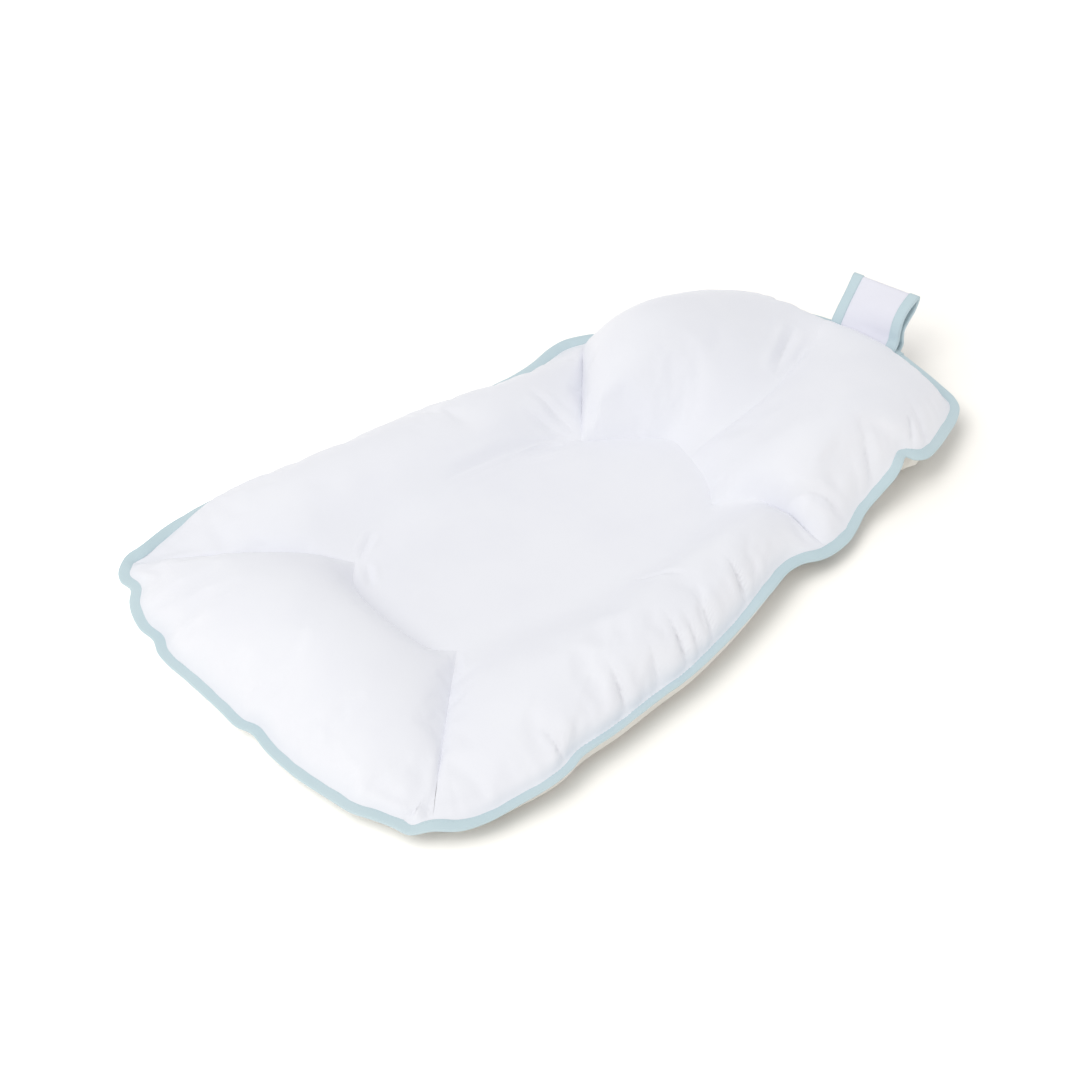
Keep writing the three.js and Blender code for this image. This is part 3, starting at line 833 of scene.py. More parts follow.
@dataclass
class TopCover:
    """The six fabric panels of the top, puffed up by their filling and gathered along the bound edge.

    Each pucker is where it leaves the edge, x and y, then its length and its depth. Each crease is the x and
    y of both its ends, then its depth and its half width. All are in millimetres. The hollow's side seams are
    rounded off the sooner from each end the greater that end's number is.
    """

    plan: SeamPlan
    puffs: dict = table({
        Chamber.FOOT: Puff(37 * MM, 0.65, 0.6, 0.55, 0.66),
        Chamber.RIGHT_SIDE: Puff(25 * MM, 0.7, 1.15, 0.65, 0.6),
        Chamber.RIGHT_HEAD: Puff(40 * MM, 0.72, 0.85, 0.5, 0.85),
        Chamber.LEFT_HEAD: Puff(51 * MM, 0.72, 0.74, 1.4, 0.66),
        Chamber.LEFT_SIDE: Puff(24 * MM, 0.75, 0.85, 0.7, 0.66),
        Chamber.CENTRE: Puff(-6 * MM, 1.2, 1.0, 1.2, 1.2),
    })
    puckers: tuple = (
        (186, -166, 30, 2.4), (180, -105, 34, 2.4), (179, -71, 26, 1.6), (178, -44, 36, 2.6),
        (174, -31, 24, 1.6), (172, -13, 30, 2.0), (157, 29, 34, 2.6), (133, 185, 30, 2.6),
        (136, 170, 22, 0.9), (118, 244, 30, 2.2), (124, 226, 26, 2.4), (154, -274, 36, 2.6),
        (166, -266, 32, 2.2), (-117, -295, 14, 0.8), (-171, -120, 26, 1.2), (-165, -62, 24, 1.0),
        (-152, 8, 26, 1.2), (-146, 72, 26, 1.4), (-118, 200, 30, 1.6), (-108, 248, 26, 1.4),
        (-72, 284, 28, 1.6), (62, 304, 26, 1.4),
    )
    creases: tuple = (
        (-33, 257, 0, 202, 3.4, 3.6), (-10, 246, 4, 204, 2.8, 3.0), (105, 108, 136, 150, 2.8, 3.0),
        (87, -22, 128, -5, 1.2, 2.6), (-54, -148, -32, -161, 2.0, 2.6), (-62, -149, -75, -126, 1.8, 2.4),
        (61, -158, 82, -172, 1.6, 2.6), (-64, 60, -106, 46, 1.2, 3.0), (-63, 56, -92, 30, 0.9, 2.6),
        (-63, 55, -75, 2, 2.4, 3.0), (-74, 14, -78, -56, 1.8, 3.2),
    )
    seam_hold: float = 3 * MM
    crease_ridge: float = 0.45
    crease_ridge_at: float = 2.2
    crease_ridge_width: float = 1.1
    crease_taper: float = 0.7
    pucker_lean: float = 0.3
    pucker_reach: float = 0.5
    groove: float = 1.8 * MM
    groove_share: float = 0.9
    shoulder: float = 6 * MM
    shoulder_share: float = 0.5
    ridge_share: float = 0.4
    ridge_at: float = 1.4
    gather: float = 0.4 * MM
    gather_reach: float = 20 * MM
    gather_waves: tuple = (12 * MM, 19 * MM, 33 * MM)
    gather_seed: int = 3
    rumples: tuple = ((1.5 * MM, 70 * MM), (0.4 * MM, 24 * MM))
    rumple_start: float = 18 * MM
    soft_seam: float = 0.3
    centre_freedom: float = 0.2
    hollow_rounding: float = 22 * MM
    rounding_passes: int = 60
    rounding_rate: float = 0.6
    rounding_ends: dict = table({Chamber.RIGHT_SIDE: (14, 14), Chamber.LEFT_SIDE: (2, 14)})
    pressure: float = 3.5
    slack: float = 0.012
    cloth: dict = table({
        "quality": 6,
        "mass": 0.2,
        "tension_stiffness": 12,
        "compression_stiffness": 12,
        "shear_stiffness": 6,
        "bending_stiffness": 0.4,
    })
    steps: int = 20
    furthest: float = 5 * MM
    fineness: int = 2
    centre_fineness: int = 1
    fill: float = 0.7

    def build(self) -> list[bpy.types.Object]:
        """Makes all six panels.

        Returns:
            The panels, each riding on the mattress.
        """
        grids = {c: self._crowned(c) for c in Chamber}
        grids = self._rounded(self._inflated(grids))
        return [self._panel(c, grids[c]) for c in Chamber]

    def _crowned(self, chamber: Chamber) -> np.ndarray:
        """Raises a chamber's grid to its starting crown, with the tucked row first.

        Args:
            chamber: The chamber.

        Returns:
            Its points as rows, columns and x, y, z.
        """
        grid = self.plan.grid(chamber)
        grid = grid + self.puffs[chamber].shares(*grid.shape[:2])[..., None] * UP
        if chamber is Chamber.CENTRE:
            return grid
        return np.concatenate([self.plan.tuck_line(chamber)[None], grid])

    def _freedom(self, chamber: Chamber, rows: int, columns: int) -> np.ndarray:
        """How far the filling may move each point: less near the hollow and the seam down the head's middle.

        Args:
            chamber: The chamber.
            rows: Points from the edge to the hollow.
            columns: Points from end to end.

        Returns:
            A share of the movement for each point.
        """
        if chamber is Chamber.CENTRE:
            return np.full((rows, columns), self.centre_freedom)
        v, u = np.meshgrid(np.linspace(0, 1, rows), np.linspace(0, 1, columns), indexing="ij")
        free = {Chamber.FOOT: np.ones_like(v), Chamber.RIGHT_HEAD: 1 - u, Chamber.LEFT_HEAD: u}
        t = (free.get(chamber, 1 - v) / self.soft_seam).clip(0, 1)
        return t * t * (3 - 2 * t)

    def _inflated(self, grids: dict) -> dict:
        """Blows the panels up against their seams as one slack cloth.

        Args:
            grids: Each chamber's points.

        Returns:
            Each chamber's points after the filling has pushed them out.
        """
        stacked, first, shared, faces = welded(list(grids.values()))
        cloth = mesh_object("cover_cloth", stacked[first], faces)
        seams = np.unique(shared[self._borders(grids)])
        cloth.vertex_groups.new(name="seams").add(seams.tolist(), 1.0, "REPLACE")
        modifier = cloth.modifiers.new("filling", "CLOTH")
        settings = modifier.settings
        for name, value in self.cloth.items():
            setattr(settings, name, value)
        settings.use_pressure = True
        settings.uniform_pressure_force = self.pressure
        settings.shrink_min = -self.slack
        settings.vertex_group_mass = "seams"
        settings.effector_weights.gravity = 0
        modifier.collision_settings.use_collision = False
        modifier.point_cache.frame_start = 1
        modifier.point_cache.frame_end = self.steps
        scene = bpy.context.scene
        for step in range(1, self.steps + 1):
            scene.frame_set(step)
        puffed, _ = mesh_arrays(cloth.evaluated_get(bpy.context.evaluated_depsgraph_get()))
        scene.frame_set(1)
        mesh = cloth.data
        bpy.data.objects.remove(cloth)
        bpy.data.meshes.remove(mesh)
        moved = puffed[shared] - stacked
        far = np.linalg.norm(moved, axis=1, keepdims=True)
        log.info("filling moved the cover by up to %.1f mm", far.max() / MM)
        moved *= self.furthest * np.tanh(far / self.furthest) / np.maximum(far, 1e-9)
        moved *= np.concatenate([self._freedom(c, *g.shape[:2]).ravel() for c, g in grids.items()])[:, None]
        return self._parted(grids, stacked + moved)

    def _borders(self, grids: dict) -> np.ndarray:
        """Marks the points that the seams and the edge binding hold.

        Args:
            grids: Each chamber's points.

        Returns:
            Whether each point is held, chamber after chamber.
        """
        held = []
        for chamber, grid in grids.items():
            border = np.zeros(grid.shape[:2], dtype=bool)
            border[[0, -1]] = border[:, [0, -1]] = True
            if chamber is not Chamber.CENTRE:
                border[1] = True
            held.append(border.ravel())
        return np.concatenate(held)

    def _parted(self, grids: dict, stacked: np.ndarray) -> dict:
        """Hands moved points back to the chambers they came from.

        Args:
            grids: Each chamber's points before they moved.
            stacked: All points, chamber after chamber.

        Returns:
            Each chamber's moved points.
        """
        ends = np.cumsum([g.shape[0] * g.shape[1] for g in grids.values()])
        parts = np.split(stacked, ends[:-1])
        return {c: part.reshape(g.shape) for (c, g), part in zip(grids.items(), parts)}

    def _rounded(self, grids: dict) -> dict:
        """Rounds off the seams along both sides of the lying hollow, where the filling blurs them.

        Args:
            grids: Each chamber's points.

        Returns:
            Each chamber's rounded points.
        """
        stacked, first, shared, faces = welded(list(grids.values()))
        points = stacked[first].copy()
        ease = np.zeros(len(points))
        for chamber, (start, end) in self.rounding_ends.items():
            seam = self.plan.sides[chamber][1]
            _, spot, far = nearest_level(seam, points)
            along = spot / (len(seam) - 1)
            taper = np.minimum(start * along, end * (1 - along)).clip(0, 1)
            ease = np.maximum(ease, taper * np.exp(-(far / self.hollow_rounding) ** 2))
        ends = np.concatenate([faces[:, [i, (i + 1) % 4]] for i in range(4)])
        ends = np.unique(np.sort(ends, axis=1), axis=0)
        near = np.bincount(ends.ravel(), minlength=len(points))[:, None]
        for _ in range(self.rounding_passes):
            total = np.zeros_like(points)
            np.add.at(total, ends[:, 0], points[ends[:, 1]])
            np.add.at(total, ends[:, 1], points[ends[:, 0]])
            points += self.rounding_rate * ease[:, None] * (total / near - points)
        return self._parted(grids, points[shared])

    def _inside(self, panel: bpy.types.Object) -> np.ndarray:
        """Measures how far each point of a panel lies from the panel's border.

        Args:
            panel: The panel, its mesh already fine.

        Returns:
            The distances in metres.
        """
        mesh = panel.data
        used = {}
        for polygon in mesh.polygons:
            for key in polygon.edge_keys:
                used[key] = used.get(key, 0) + 1
        border = lookup([mesh.vertices[i].co for key, n in used.items() if n == 1 for i in key])
        return np.array([border.find(v.co)[2] for v in mesh.vertices])

    def _rumple(self, panel: bpy.types.Object) -> None:
        """Gives the fabric the faint unevenness of loose filling and its creases, none along its seams.

        Args:
            panel: The panel, its mesh already fine.
        """
        places, normals = mesh_arrays(panel)
        inside = self._inside(panel)
        waves = [sum(depth * noise.noise(Vector(p) / size) for depth, size in self.rumples) for p in places]
        rise = np.array(waves) * (1 - np.exp(-(inside / self.rumple_start) ** 2))
        start = 1 - np.exp(-inside / self.seam_hold)
        for x0, y0, x1, y1, depth, half in self.creases:
            away, run = places[:, :2] - np.array([x0, y0]) * MM, np.array([x1 - x0, y1 - y0]) * MM
            length = np.linalg.norm(run)
            along = (away @ run / length ** 2).clip(0, 1)
            aside = np.abs(away @ np.array([-run[1], run[0]])) / length / (half * MM)
            ridge = np.exp(-((aside - self.crease_ridge_at) / self.crease_ridge_width) ** 2)
            fold = np.exp(-aside) - self.crease_ridge * ridge
            rise -= depth * MM * fold * np.sin(np.pi * along) ** self.crease_taper * start
        move_mesh(panel, places + normals * rise[:, None])

    def _gather(self, panel: bpy.types.Object) -> None:
        """Draws the fabric in along the bound edge: fine gathers all round, and the deeper puckers.

        Args:
            panel: The panel, its mesh already fine.
        """
        edge = self.plan.edge
        places, normals = mesh_arrays(panel)
        frames = edge.everywhere()
        lip = frames.offset(edge.tape_width, self.plan.lip_rise)
        tree, spot, far = nearest_level(lip, places)
        inwards = ((places - lip[spot]) * frames.inwards[spot])[:, :2].sum(axis=1) > 0
        inside, along = np.where(inwards, far, 0.0), frames.at[spot]
        wobble = ripple(along, self.gather_seed, self.gather_waves)
        drop = self.gather * wobble * np.exp(-(inside / self.gather_reach) ** 2)
        half = edge.length / 2
        for x, y, length, depth in self.puckers:
            at = frames.at[tree.find((x * MM, y * MM, 0))[1]]
            aside = np.abs(np.mod(along - at - self.pucker_lean * inside + half, edge.length) - half)
            fold = self.groove_share * np.exp(-aside / self.groove)
            fold += self.shoulder_share * np.exp(-(aside / self.shoulder) ** 2)
            fold -= self.ridge_share * np.exp(-(aside / self.shoulder - self.ridge_at) ** 2)
            drop += depth * MM * fold * np.exp(-(inside / (self.pucker_reach * length * MM)) ** 2)
        drop *= 1 - np.exp(-inside / self.seam_hold)
        move_mesh(panel, places - normals * drop[:, None])

    def _panel(self, chamber: Chamber, grid: np.ndarray) -> bpy.types.Object:
        """Makes one panel from its puffed grid.

        Args:
            chamber: The chamber it covers.
            grid: Its points as rows, columns and x, y, z.

        Returns:
            The dressed panel.
        """
        panel = mesh_object(f"{chamber.value}_cover", grid.reshape(-1, 3), grid_faces(*grid.shape[:2]),
                            grid_arcs(grid).reshape(-1, 2))
        subdivide(panel, self.centre_fineness if chamber is Chamber.CENTRE else self.fineness)
        self._rumple(panel)
        if chamber is not Chamber.CENTRE:
            self._gather(panel)
        WHITE_FABRIC.dress(panel)
        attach(panel, Body.MATTRESS.value)
        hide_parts(f"{chamber.value}_panel", f"{chamber.value}_fill")
        return panel


@dataclass
class BaseCover:
    """The one fabric panel underneath, flat on the floor and drawn up to the bound edge."""

    plan: SeamPlan
    floor_gap: float = 0.6 * MM
    wall_depth: float = 26 * MM
    belly: float = 7 * MM
    belly_lost_to_tip: float = 1.2
    least_belly: float = 0.2
    layer_gap: float = 3 * MM
    seam_reach: float = 22 * MM
    fill: float = 0.7

    def build(self) -> bpy.types.Object:
        """Makes the panel.

        Returns:
            The dressed panel.
        """
        stacked, first, _, faces = welded([self._grid(c) for c in Chamber])
        base = mesh_object("base_cover", stacked[first], faces[:, ::-1], stacked[first, :2])
        # The base wears the white fabric with painted warm light in its colour.
        BASE_FABRIC_PAINTED_WARM_LIGHT.dress(base)
        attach(base, Body.MATTRESS.value)
        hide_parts("base_panel")
        return base

    def _grid(self, chamber: Chamber) -> np.ndarray:
        """Shapes the part of the base under one chamber.

        Args:
            chamber: The chamber.

        Returns:
            Its points as rows, columns and x, y, z.
        """
        grid = self.plan.grid(chamber)
        drop = UP * self.layer_gap
        if chamber is Chamber.CENTRE:
            grid = grid - drop
            share = self._wall(grid, (0, 1, 2, 3), self.seam_reach)
            grid[..., 2] = self.floor_gap + (grid[..., 2] - self.floor_gap) * share
            return grid
        frames, tape = self.plan.edges[chamber], self.plan.edge.tape_width
        shift = (frames.offset(tape, -self.plan.lip_rise) - self.plan.sides[chamber][0])[None] + drop
        grid = grid + shift * np.linspace(1, 0, grid.shape[0])[:, None, None] - drop
        edge_share = self._wall(grid, (0,), self.wall_depth)
        seam_share = self._wall(grid, (1, 2, 3), self.seam_reach)
        share = np.maximum(edge_share, seam_share)
        grid[..., 2] = self.floor_gap + (grid[..., 2] - self.floor_gap) * share
        free = (1 - self.belly_lost_to_tip * frames.inwards[:, 2]).clip(self.least_belly, 1)
        bulge = self.belly * free * np.sin(np.pi * edge_share.clip(0, 1)) * (1 - seam_share)
        grid = grid - (frames.inwards * LEVEL)[None] * bulge[..., None]
        tuck = frames.offset(tape - self.plan.tuck, -self.plan.lip_rise)
        return np.concatenate([tuck[None], grid])

    def _wall(self, grid: np.ndarray, sides: tuple[int, ...], reach: float) -> np.ndarray:
        """How high the base stands near some sides of a grid, as a quarter round.

        Args:
            grid: Points as rows, columns and x, y, z.
            sides: 0 the first row, 1 the last row, 2 the first column, 3 the last column.
            reach: How far from those sides it meets the floor.

        Returns:
            A share for each point, 1 at the sides and 0 on the floor.
        """
        lines = grid[0], grid[-1], grid[:, 0], grid[:, -1]
        chosen = np.concatenate([lines[k] for k in sides])[None, :, :2]
        away = np.linalg.norm(grid[..., :2].reshape(-1, 1, 2) - chosen, axis=2).min(axis=1)
        near = (away.reshape(grid.shape[:2]) / reach).clip(0, 1)
        return 1 - np.sqrt(1 - (1 - near) ** 2)


@dataclass
class EdgeBinding:
    """The bias tape folded round the whole edge, with the line of stitches that holds it.

    The section goes from the slot over one face to the fold, as shares of the tape's width and of half its
    thickness.
    """

    edge: LyingEdge
    step: float = 3 * MM
    half_thickness: float = 1.35 * MM
    slot_half: float = 0.8 * MM
    slot_depth: float = 0.2
    section: tuple = (
        (1.0, 0.86), (0.93, 1.0), (0.72, 1.04), (0.5, 1.06), (0.28, 1.02), (0.12, 0.9), (0.04, 0.6),
    )
    width_wobble: float = 0.05
    width_waves: tuple = (31 * MM, 83 * MM, 190 * MM)
    width_seed: int = 5
    face_wobble: float = 0.16
    face_waves: tuple = (17 * MM, 29 * MM, 61 * MM)
    face_seed: int = 7
    stitch_pitch: float = 3.4 * MM
    stitch_length: float = 2.5 * MM
    stitch_inset: float = 1.5 * MM
    stitch_sink: float = 0.1 * MM
    stitch_rise: float = 0.8
    stitch_profile: tuple = (0.0, 0.55, 1.0, 0.55, 0.0)
    stitch_sides: int = 5
    thread: float = 0.28 * MM
    overlap_at: tuple = (26 * MM, 313 * MM)
    overlap_length: float = 9 * MM
    overlap_lift: float = 0.7 * MM
    overlap_sections: int = 7

    def build(self) -> list[bpy.types.Object]:
        """Makes the tape, its overlapped end and its stitches.

        Returns:
            The three pieces.
        """
        tape, end, stitches = self._tape(), self._overlap(), self._stitches()
        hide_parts("edge_binding")
        for piece, cloth in ((tape, BLUE_TAPE), (end, BLUE_TAPE), (stitches, BLUE_THREAD)):
            cloth.dress(piece)
            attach(piece, Body.MATTRESS.value)
        return [tape, end, stitches]

    def _width(self, at: np.ndarray) -> np.ndarray:
        """The tape's visible width along the edge, slightly uneven."""
        return self.edge.tape_width * (1 + self.width_wobble * ripple(at, self.width_seed, self.width_waves))

    def _top(self, at: np.ndarray) -> np.ndarray:
        """How far the tape's face stands off the layers it holds, slightly wavy."""
        return self.half_thickness * (1 + self.face_wobble * ripple(at, self.face_seed, self.face_waves))

    def _tape(self) -> bpy.types.Object:
        """Folds the tape round the edge, as a closed ring."""
        at = self._spaced(self.step)
        return sweep("edge_binding_tape", self._sections(at, 0.0), True, at)

    def _spaced(self, pitch: float) -> np.ndarray:
        """Metres along the edge for things that stand about a pitch apart all round it."""
        count = int(self.edge.length / pitch)
        return np.arange(count) * self.edge.length / count

    def _overlap(self) -> bpy.types.Object:
        """Folds the tape's end over its start, beside the hanging loop.

        Returns:
            The short end of tape.
        """
        spread = np.linspace(-0.5, 0.5, self.overlap_sections) * self.overlap_length
        at = self.edge.beside(self.overlap_at, spread)
        return sweep("edge_binding_end", self._sections(at, self.overlap_lift), False, at)

    def _sections(self, at: np.ndarray, lift: float) -> np.ndarray:
        """Folds the tape's section round the edge at given places.

        Args:
            at: Metres along the edge.
            lift: How far the tape lies off its usual place.

        Returns:
            Points as sections, points round a section and x, y, z.
        """
        frames = self.edge.frames(at)
        width, top = self._width(at) + lift, self._top(at) + lift
        slot = self.slot_half / self.half_thickness
        over = [(1.0, slot), *self.section]
        under = [(a, -b) for a, b in reversed(over)]
        ring = [*over, (0.0, 0.0), *under, (self.slot_depth, -slot), (self.slot_depth, slot)]
        return np.stack([frames.offset(a * width - lift, b * top) for a, b in ring], axis=1)

    def _stitches(self) -> bpy.types.Object:
        """Sews a line of short stitches along the tape's inner edge, above and below.

        Returns:
            All the stitches as one piece.
        """
        middle = self._spaced(self.stitch_pitch)
        along = np.linspace(-0.5, 0.5, len(self.stitch_profile)) * self.stitch_length
        angles = np.linspace(0, 2 * math.pi, self.stitch_sides, endpoint=False)
        one = grid_faces(len(along), len(angles), tube=True)
        size = len(along) * len(angles)
        points, faces = [], []
        for side in (1, -1):
            rings = []
            for share, shift in zip(self.stitch_profile, along):
                at = middle + shift
                frames = self.edge.frames(at)
                inset = self._width(at) - self.stitch_inset
                rise = self._top(at) - self.stitch_sink + share * self.thread * self.stitch_rise
                radius = self.thread * (1 + share) / 2
                rings.append(np.stack([
                    frames.offset(inset + radius * math.cos(a), side * (rise + radius * math.sin(a)))
                    for a in angles
                ], axis=1))
            first = (np.arange(len(middle)) + len(middle) * len(points)) * size
            faces.append((one[None, :, ::side] + first[:, None, None]).reshape(-1, 4))
            points.append(np.stack(rings, axis=1).reshape(-1, 3))
        stacked = np.concatenate(points)
        return mesh_object("edge_binding_stitches", stacked, np.concatenate(faces), stacked[:, :2])


@dataclass
class HangingLoop:
    """The folded strap at the head end, with its two bound sides.

    Each side's line runs over the edge, up, round the fold and back under the edge, as outwards and up in
    millimetres. Front and back share the point at the fold.
    """

    width: float = 60 * MM
    thickness: float = 1.6 * MM
    yaw_deg: float = 11
    root: tuple = (-4.6 * MM, 311.0 * MM, 25.6 * MM)
    strap_inset: float = 0.4 * MM
    tape_width: float = 9.4 * MM
    tape: float = 0.7 * MM
    left_front: tuple = (
        (-11, 1.6), (-9, 6.2), (-1.5, 14.8), (8, 24.2), (14, 31), (17.2, 34.8), (18.2, 35.2),
    )
    left_back: tuple = (
        (18.2, 35.2), (18.9, 34.2), (18, 30), (14.2, 22.8), (9.4, 15.6), (4.4, 8.6), (2.4, 2),
        (-5.5, -4.6), (-11, -4.8),
    )
    right_front: tuple = (
        (-11, 1.6), (-7.4, 4.6), (-4.4, 9), (-3.6, 17.7), (-0.8, 26.6), (6.4, 33.2), (17, 36.8),
        (20.5, 37),
    )
    right_back: tuple = (
        (20.5, 37), (20.9, 35.6), (19.2, 32), (15.7, 27.4), (8, 22), (2.2, 16), (1.8, 8), (2.4, 2),
        (-5.5, -4.6), (-11, -4.8),
    )
    span_samples: int = 12
    half_segments: int = 48
    band_points: int = 7
    lip: float = 0.5 * MM
    lip_share: float = 0.6

    def build(self) -> list[bpy.types.Object]:
        """Makes the strap and the tape on each side of it.

        Returns:
            The three pieces.
        """
        edge, within = self.width / 2, self.width / 2 - self.tape_width
        strap_edge = edge - self.strap_inset
        strap = self._band("hang_loop_strap", -strap_edge, strap_edge, self.thickness / 2)
        # The strap's colour carries painted shade.
        STRAP_FABRIC_PAINTED_SHADE.dress(strap)
        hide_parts("hang_loop", "hang_loop_upper_tail", "hang_loop_lower_tail")
        pieces = [strap]
        for name, low, high in (("left", -edge, -within), ("right", within, edge)):
            tape = self._band(f"hang_loop_{name}_tape", low, high, self.thickness / 2 + self.tape)
            BLUE_TAPE.dress(tape)
            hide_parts(f"hang_loop_{name}_binding")
            pieces.append(tape)
        for piece in pieces:
            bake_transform(piece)
        return pieces

    def _line(self, front: tuple, back: tuple) -> np.ndarray:
        """Smooths one side's line, its fold in the middle.

        Args:
            front: The points up to the fold.
            back: The points from the fold on.

        Returns:
            Points as outwards and up, in metres.
        """
        turn = (len(front) - 1) * self.span_samples
        points = np.array(front + back[1:], dtype=float) * MM
        fine = smooth_curve(points, closed=False, per_span=self.span_samples)
        up, down = evenly(fine[:turn + 1], self.half_segments), evenly(fine[turn:], self.half_segments)
        return np.vstack([up, down[1:]])

    def _band(self, name: str, low: float, high: float, half: float) -> bpy.types.Object:
        """Makes a flat band along the strap, between the lines of its two sides.

        Args:
            name: The piece's name.
            low: Where the band starts across the strap.
            high: Where it ends across the strap.
            half: Half its thickness.

        Returns:
            The band.
        """
        lip = min(self.lip, half * self.lip_share)
        places = np.linspace(low + lip, high - lip, self.band_points)
        section = [(low, 0.0), *((a, half) for a in places), (high, 0.0), *((a, -half) for a in places[::-1])]
        yaw = math.radians(self.yaw_deg)
        sideways = np.array([math.cos(yaw), math.sin(yaw), 0.0])
        outwards = np.array([-math.sin(yaw), math.cos(yaw), 0.0])
        left = self._line(self.left_front, self.left_back)
        right = self._line(self.right_front, self.right_back)
        rings = []
        for a, b in section:
            share = a / self.width + 0.5
            path = left * (1 - share) + right * share
            along = np.gradient(path, axis=0)
            along /= np.linalg.norm(along, axis=1, keepdims=True)
            path = path + np.stack([-along[:, 1], along[:, 0]], axis=1) * b
            rings.append(np.array(self.root) + sideways * a + path[:, :1] * outwards + path[:, 1:] * UP)
        lengths = np.concatenate([[0.0], np.cumsum(np.linalg.norm(np.diff(left, axis=0), axis=1))])
        return sweep(name, np.stack(rings, axis=1), False, lengths)


@dataclass
class SideTab:
    """The blank folded ribbon sewn into the left edge."""

    edge: LyingEdge
    middle: tuple = (-169 * MM, -25 * MM)
    width: float = 26 * MM
    length: float = 15 * MM
    half_thickness: float = 0.6 * MM
    fold_bluntness: float = 8
    droop_deg: float = 24
    tucked: float = 4 * MM
    bend_from: float = 1 * MM
    bend_to: float = 3 * MM
    sections: int = 14
    rows: int = 9

    def build(self) -> bpy.types.Object:
        """Makes the ribbon, its root inside the edge binding.

        Returns:
            The ribbon.
        """
        spread = np.linspace(-0.5, 0.5, self.sections) * self.width
        frames = self.edge.frames(self.edge.beside(self.middle, spread))
        outwards = -frames.inwards * LEVEL
        outwards /= np.linalg.norm(outwards, axis=1, keepdims=True)
        droop = math.radians(self.droop_deg)
        out, down = self.length * math.cos(droop), self.length * math.sin(droop)
        line = [frames.outer + outwards * out * t - UP * down * t ** 2 for t in np.linspace(0, 1, self.rows)]
        rows = np.stack([frames.offset(self.tucked, 0.0)] + line)
        thin = np.sqrt(1 - np.linspace(0, 1, len(rows)) ** self.fold_bluntness)
        thick = self.half_thickness * thin[:, None, None] * UP
        sections = np.concatenate([rows + thick, (rows - thick)[::-1]]).transpose(1, 0, 2)
        tab = sweep("side_tab_ribbon", sections, False, np.linspace(0, self.width, self.sections))
        WHITE_RIBBON.dress(tab)
        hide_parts("side_tab")
        start = frames.offset(self.bend_from, 0.0).mean(axis=0)
        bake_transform(tab)
        return tab


# Studio


@dataclass(frozen=True)
class Lamp:
    """A soft square lamp: its place and side in metres, its power in watts and the colour of its light."""

    name: str
    place: tuple
    size: float
    watts: float
    colour: tuple

    def hang(self, target: tuple) -> bpy.types.Object:
        """Hangs the lamp so that it looks at a place.

        Args:
            target: The place.

        Returns:
            The lamp.
        """
        data = bpy.data.lights.new(self.name, "AREA")
        data.energy, data.size, data.color = self.watts, self.size, self.colour
        lamp = bpy.data.objects.new(self.name, data)
        bpy.context.scene.collection.objects.link(lamp)
        lamp.location = self.place
        lamp.rotation_euler = (Vector(target) - Vector(self.place)).to_track_quat("-Z", "Y").to_euler()
        return lamp


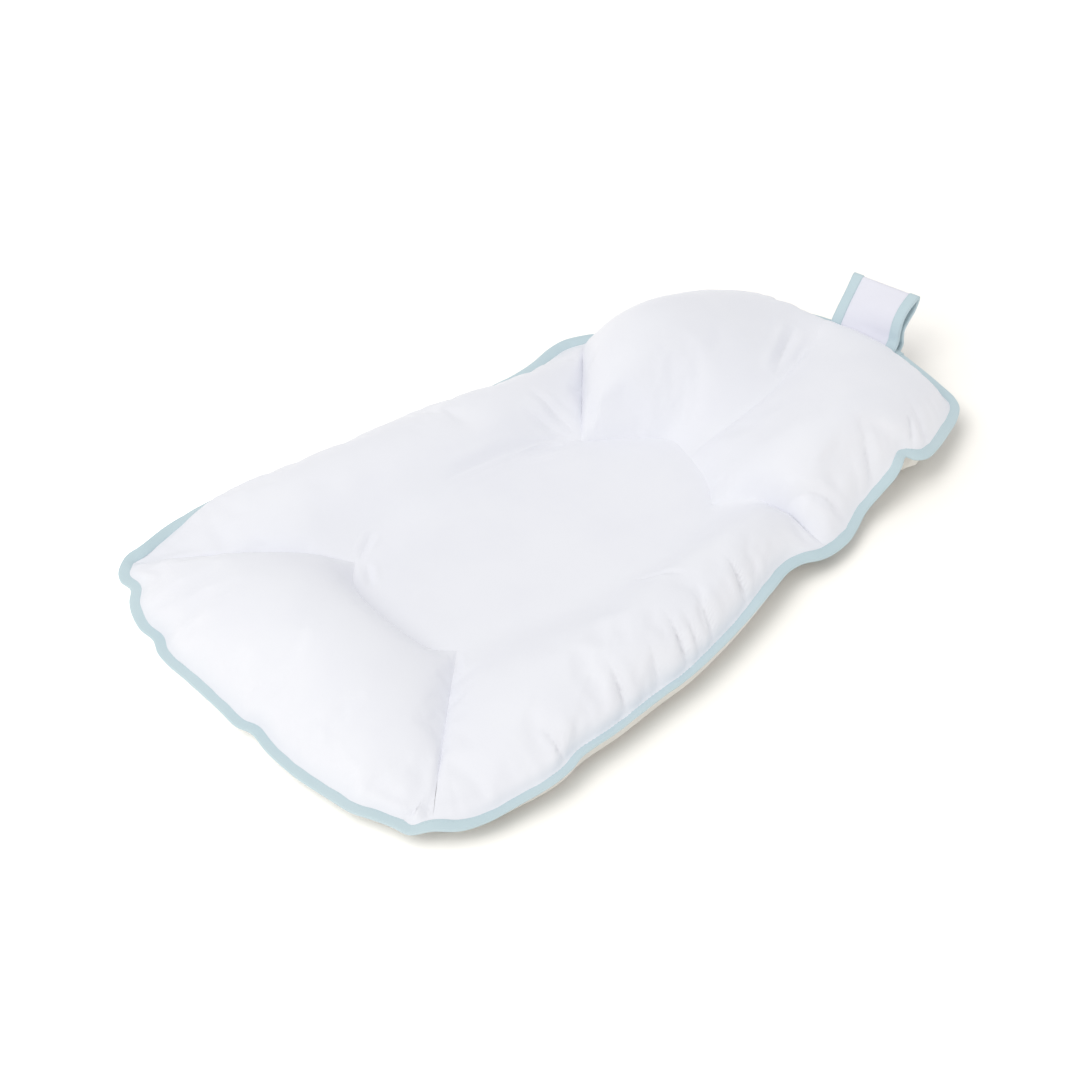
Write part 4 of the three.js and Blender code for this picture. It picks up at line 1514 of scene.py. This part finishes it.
@dataclass
class Studio:
    """The pale floor, the soft light and the camera at the photograph's angle.

    The floor glows for the camera, from a little near the middle of the shadow to white further out.
    """

    target: tuple = (0.0, 18.46 * MM, 0.0)
    distance: float = 1.9287
    azimuth_deg: float = 49.4
    elevation_deg: float = 41.34
    lens: float = 86.67
    sensor: float = 36
    aim_right: float = -0.01984
    aim_up: float = -0.00727
    key: Lamp = Lamp("key", (0.28, -3.05, 3.6), 2.4, 52, (1, 0.985, 0.94))
    shadow: Lamp = Lamp("shadow", (-0.85, -1.1, 3.2), 3.6, 88, (1, 1, 1))
    sky_light: float = 0.797
    floor_half: float = 6.0
    floor_colour: tuple = (0.765, 0.745, 0.71, 1)
    floor_roughness: float = 0.9
    floor_specular: float = 0.1
    shadow_middle: tuple = (0.24, 0.17, 0.0)
    glow: dict = table({"From Min": 0.4, "From Max": 0.8, "To Min": 0.05, "To Max": 1.0})

    def build(self) -> None:
        """Sets the camera, the floor, the lamps and the colour."""
        bpy.context.scene.view_settings.view_transform = "Standard"
        self._camera()
        self._lamps(self._floor())
        self._sky()

    def _camera(self) -> None:
        """Places the camera."""
        a, e = math.radians(self.azimuth_deg), math.radians(self.elevation_deg)
        back = Vector((math.sin(a) * math.cos(e), -math.cos(a) * math.cos(e), math.sin(e)))
        right = Vector((math.cos(a), math.sin(a), 0.0))
        up = back.cross(right)
        data = bpy.data.cameras.new("camera")
        data.lens, data.sensor_width = self.lens, self.sensor
        camera = bpy.data.objects.new("camera", data)
        bpy.context.scene.collection.objects.link(camera)
        z = (back - self.aim_right * right - self.aim_up * up).normalized()
        x = (right - z * right.dot(z)).normalized()
        turn = Matrix((x, z.cross(x), z)).transposed().to_4x4()
        camera.matrix_world = Matrix.Translation(Vector(self.target) + back * self.distance) @ turn
        bpy.context.scene.camera = camera

    def _floor(self) -> bpy.types.Object:
        """Lays a pale floor that keeps a warm shadow near the mattress and looks white all round it.

        Returns:
            The floor.
        """
        corners = np.array([(-1, -1, 0), (1, -1, 0), (1, 1, 0), (-1, 1, 0)])
        floor = mesh_object("floor", corners * self.floor_half, [[0, 1, 2, 3]])
        made = bpy.data.materials.new("pale_floor")
        nodes = NodeTree(made)
        seen = nodes.seen_by("Camera", "Glossy", "Transmission")
        place = nodes.add("ShaderNodeTexCoord", {}).outputs["Object"]
        away = nodes.add("ShaderNodeVectorMath", {0: place, 1: self.shadow_middle}, operation="DISTANCE")
        white = nodes.add("ShaderNodeMapRange", {"Value": away.outputs["Value"], **self.glow})
        glow = nodes.add("ShaderNodeMath", {0: seen, 1: white.outputs["Result"]}, operation="MULTIPLY")
        nodes.feed(nodes.tree.nodes["Principled BSDF"], {
            "Base Color": self.floor_colour,
            "Roughness": self.floor_roughness,
            "Specular IOR Level": self.floor_specular,
            "Emission Color": (1, 1, 1, 1),
            "Emission Strength": glow.outputs["Value"],
        })
        floor.data.materials.append(made)
        return floor

    def _lamps(self, floor: bpy.types.Object) -> None:
        """Hangs a broad key lamp at the foot end, and one that lights only the floor and so makes its shadow.

        Args:
            floor: The floor.
        """
        self.key.hang(self.target)
        lit = bpy.data.collections.new("lit_floor")
        lit.objects.link(floor)
        self.shadow.hang(self.target).light_linking.receiver_collection = lit

    def _sky(self) -> None:
        """Surrounds the scene with soft white light."""
        world = bpy.data.worlds.new("white_room")
        bpy.context.scene.world = world
        nodes = NodeTree(world)
        seen = nodes.seen_by("Camera", "Glossy")
        level = nodes.add("ShaderNodeMapRange", {"Value": seen, "To Min": self.sky_light, "To Max": 1.0})
        nodes.feed(nodes.tree.nodes["Background"], {
            "Color": (1, 1, 1, 1),
            "Strength": level.outputs["Result"],
        })


def main() -> None:
    """Builds the studio and every piece of the mattress in order."""
    logging.basicConfig(level=logging.INFO, format="%(name)s: %(message)s")
    Studio().build()
    edge = LyingEdge()
    plan = SeamPlan(edge)
    pieces = [*TopCover(plan).build(), BaseCover(plan).build(), *EdgeBinding(edge).build()]
    pieces += [*HangingLoop().build(), SideTab(edge).build()]
    for piece in pieces:
        log.info("made %s", piece.name)


if __name__ == "__main__":
    main()
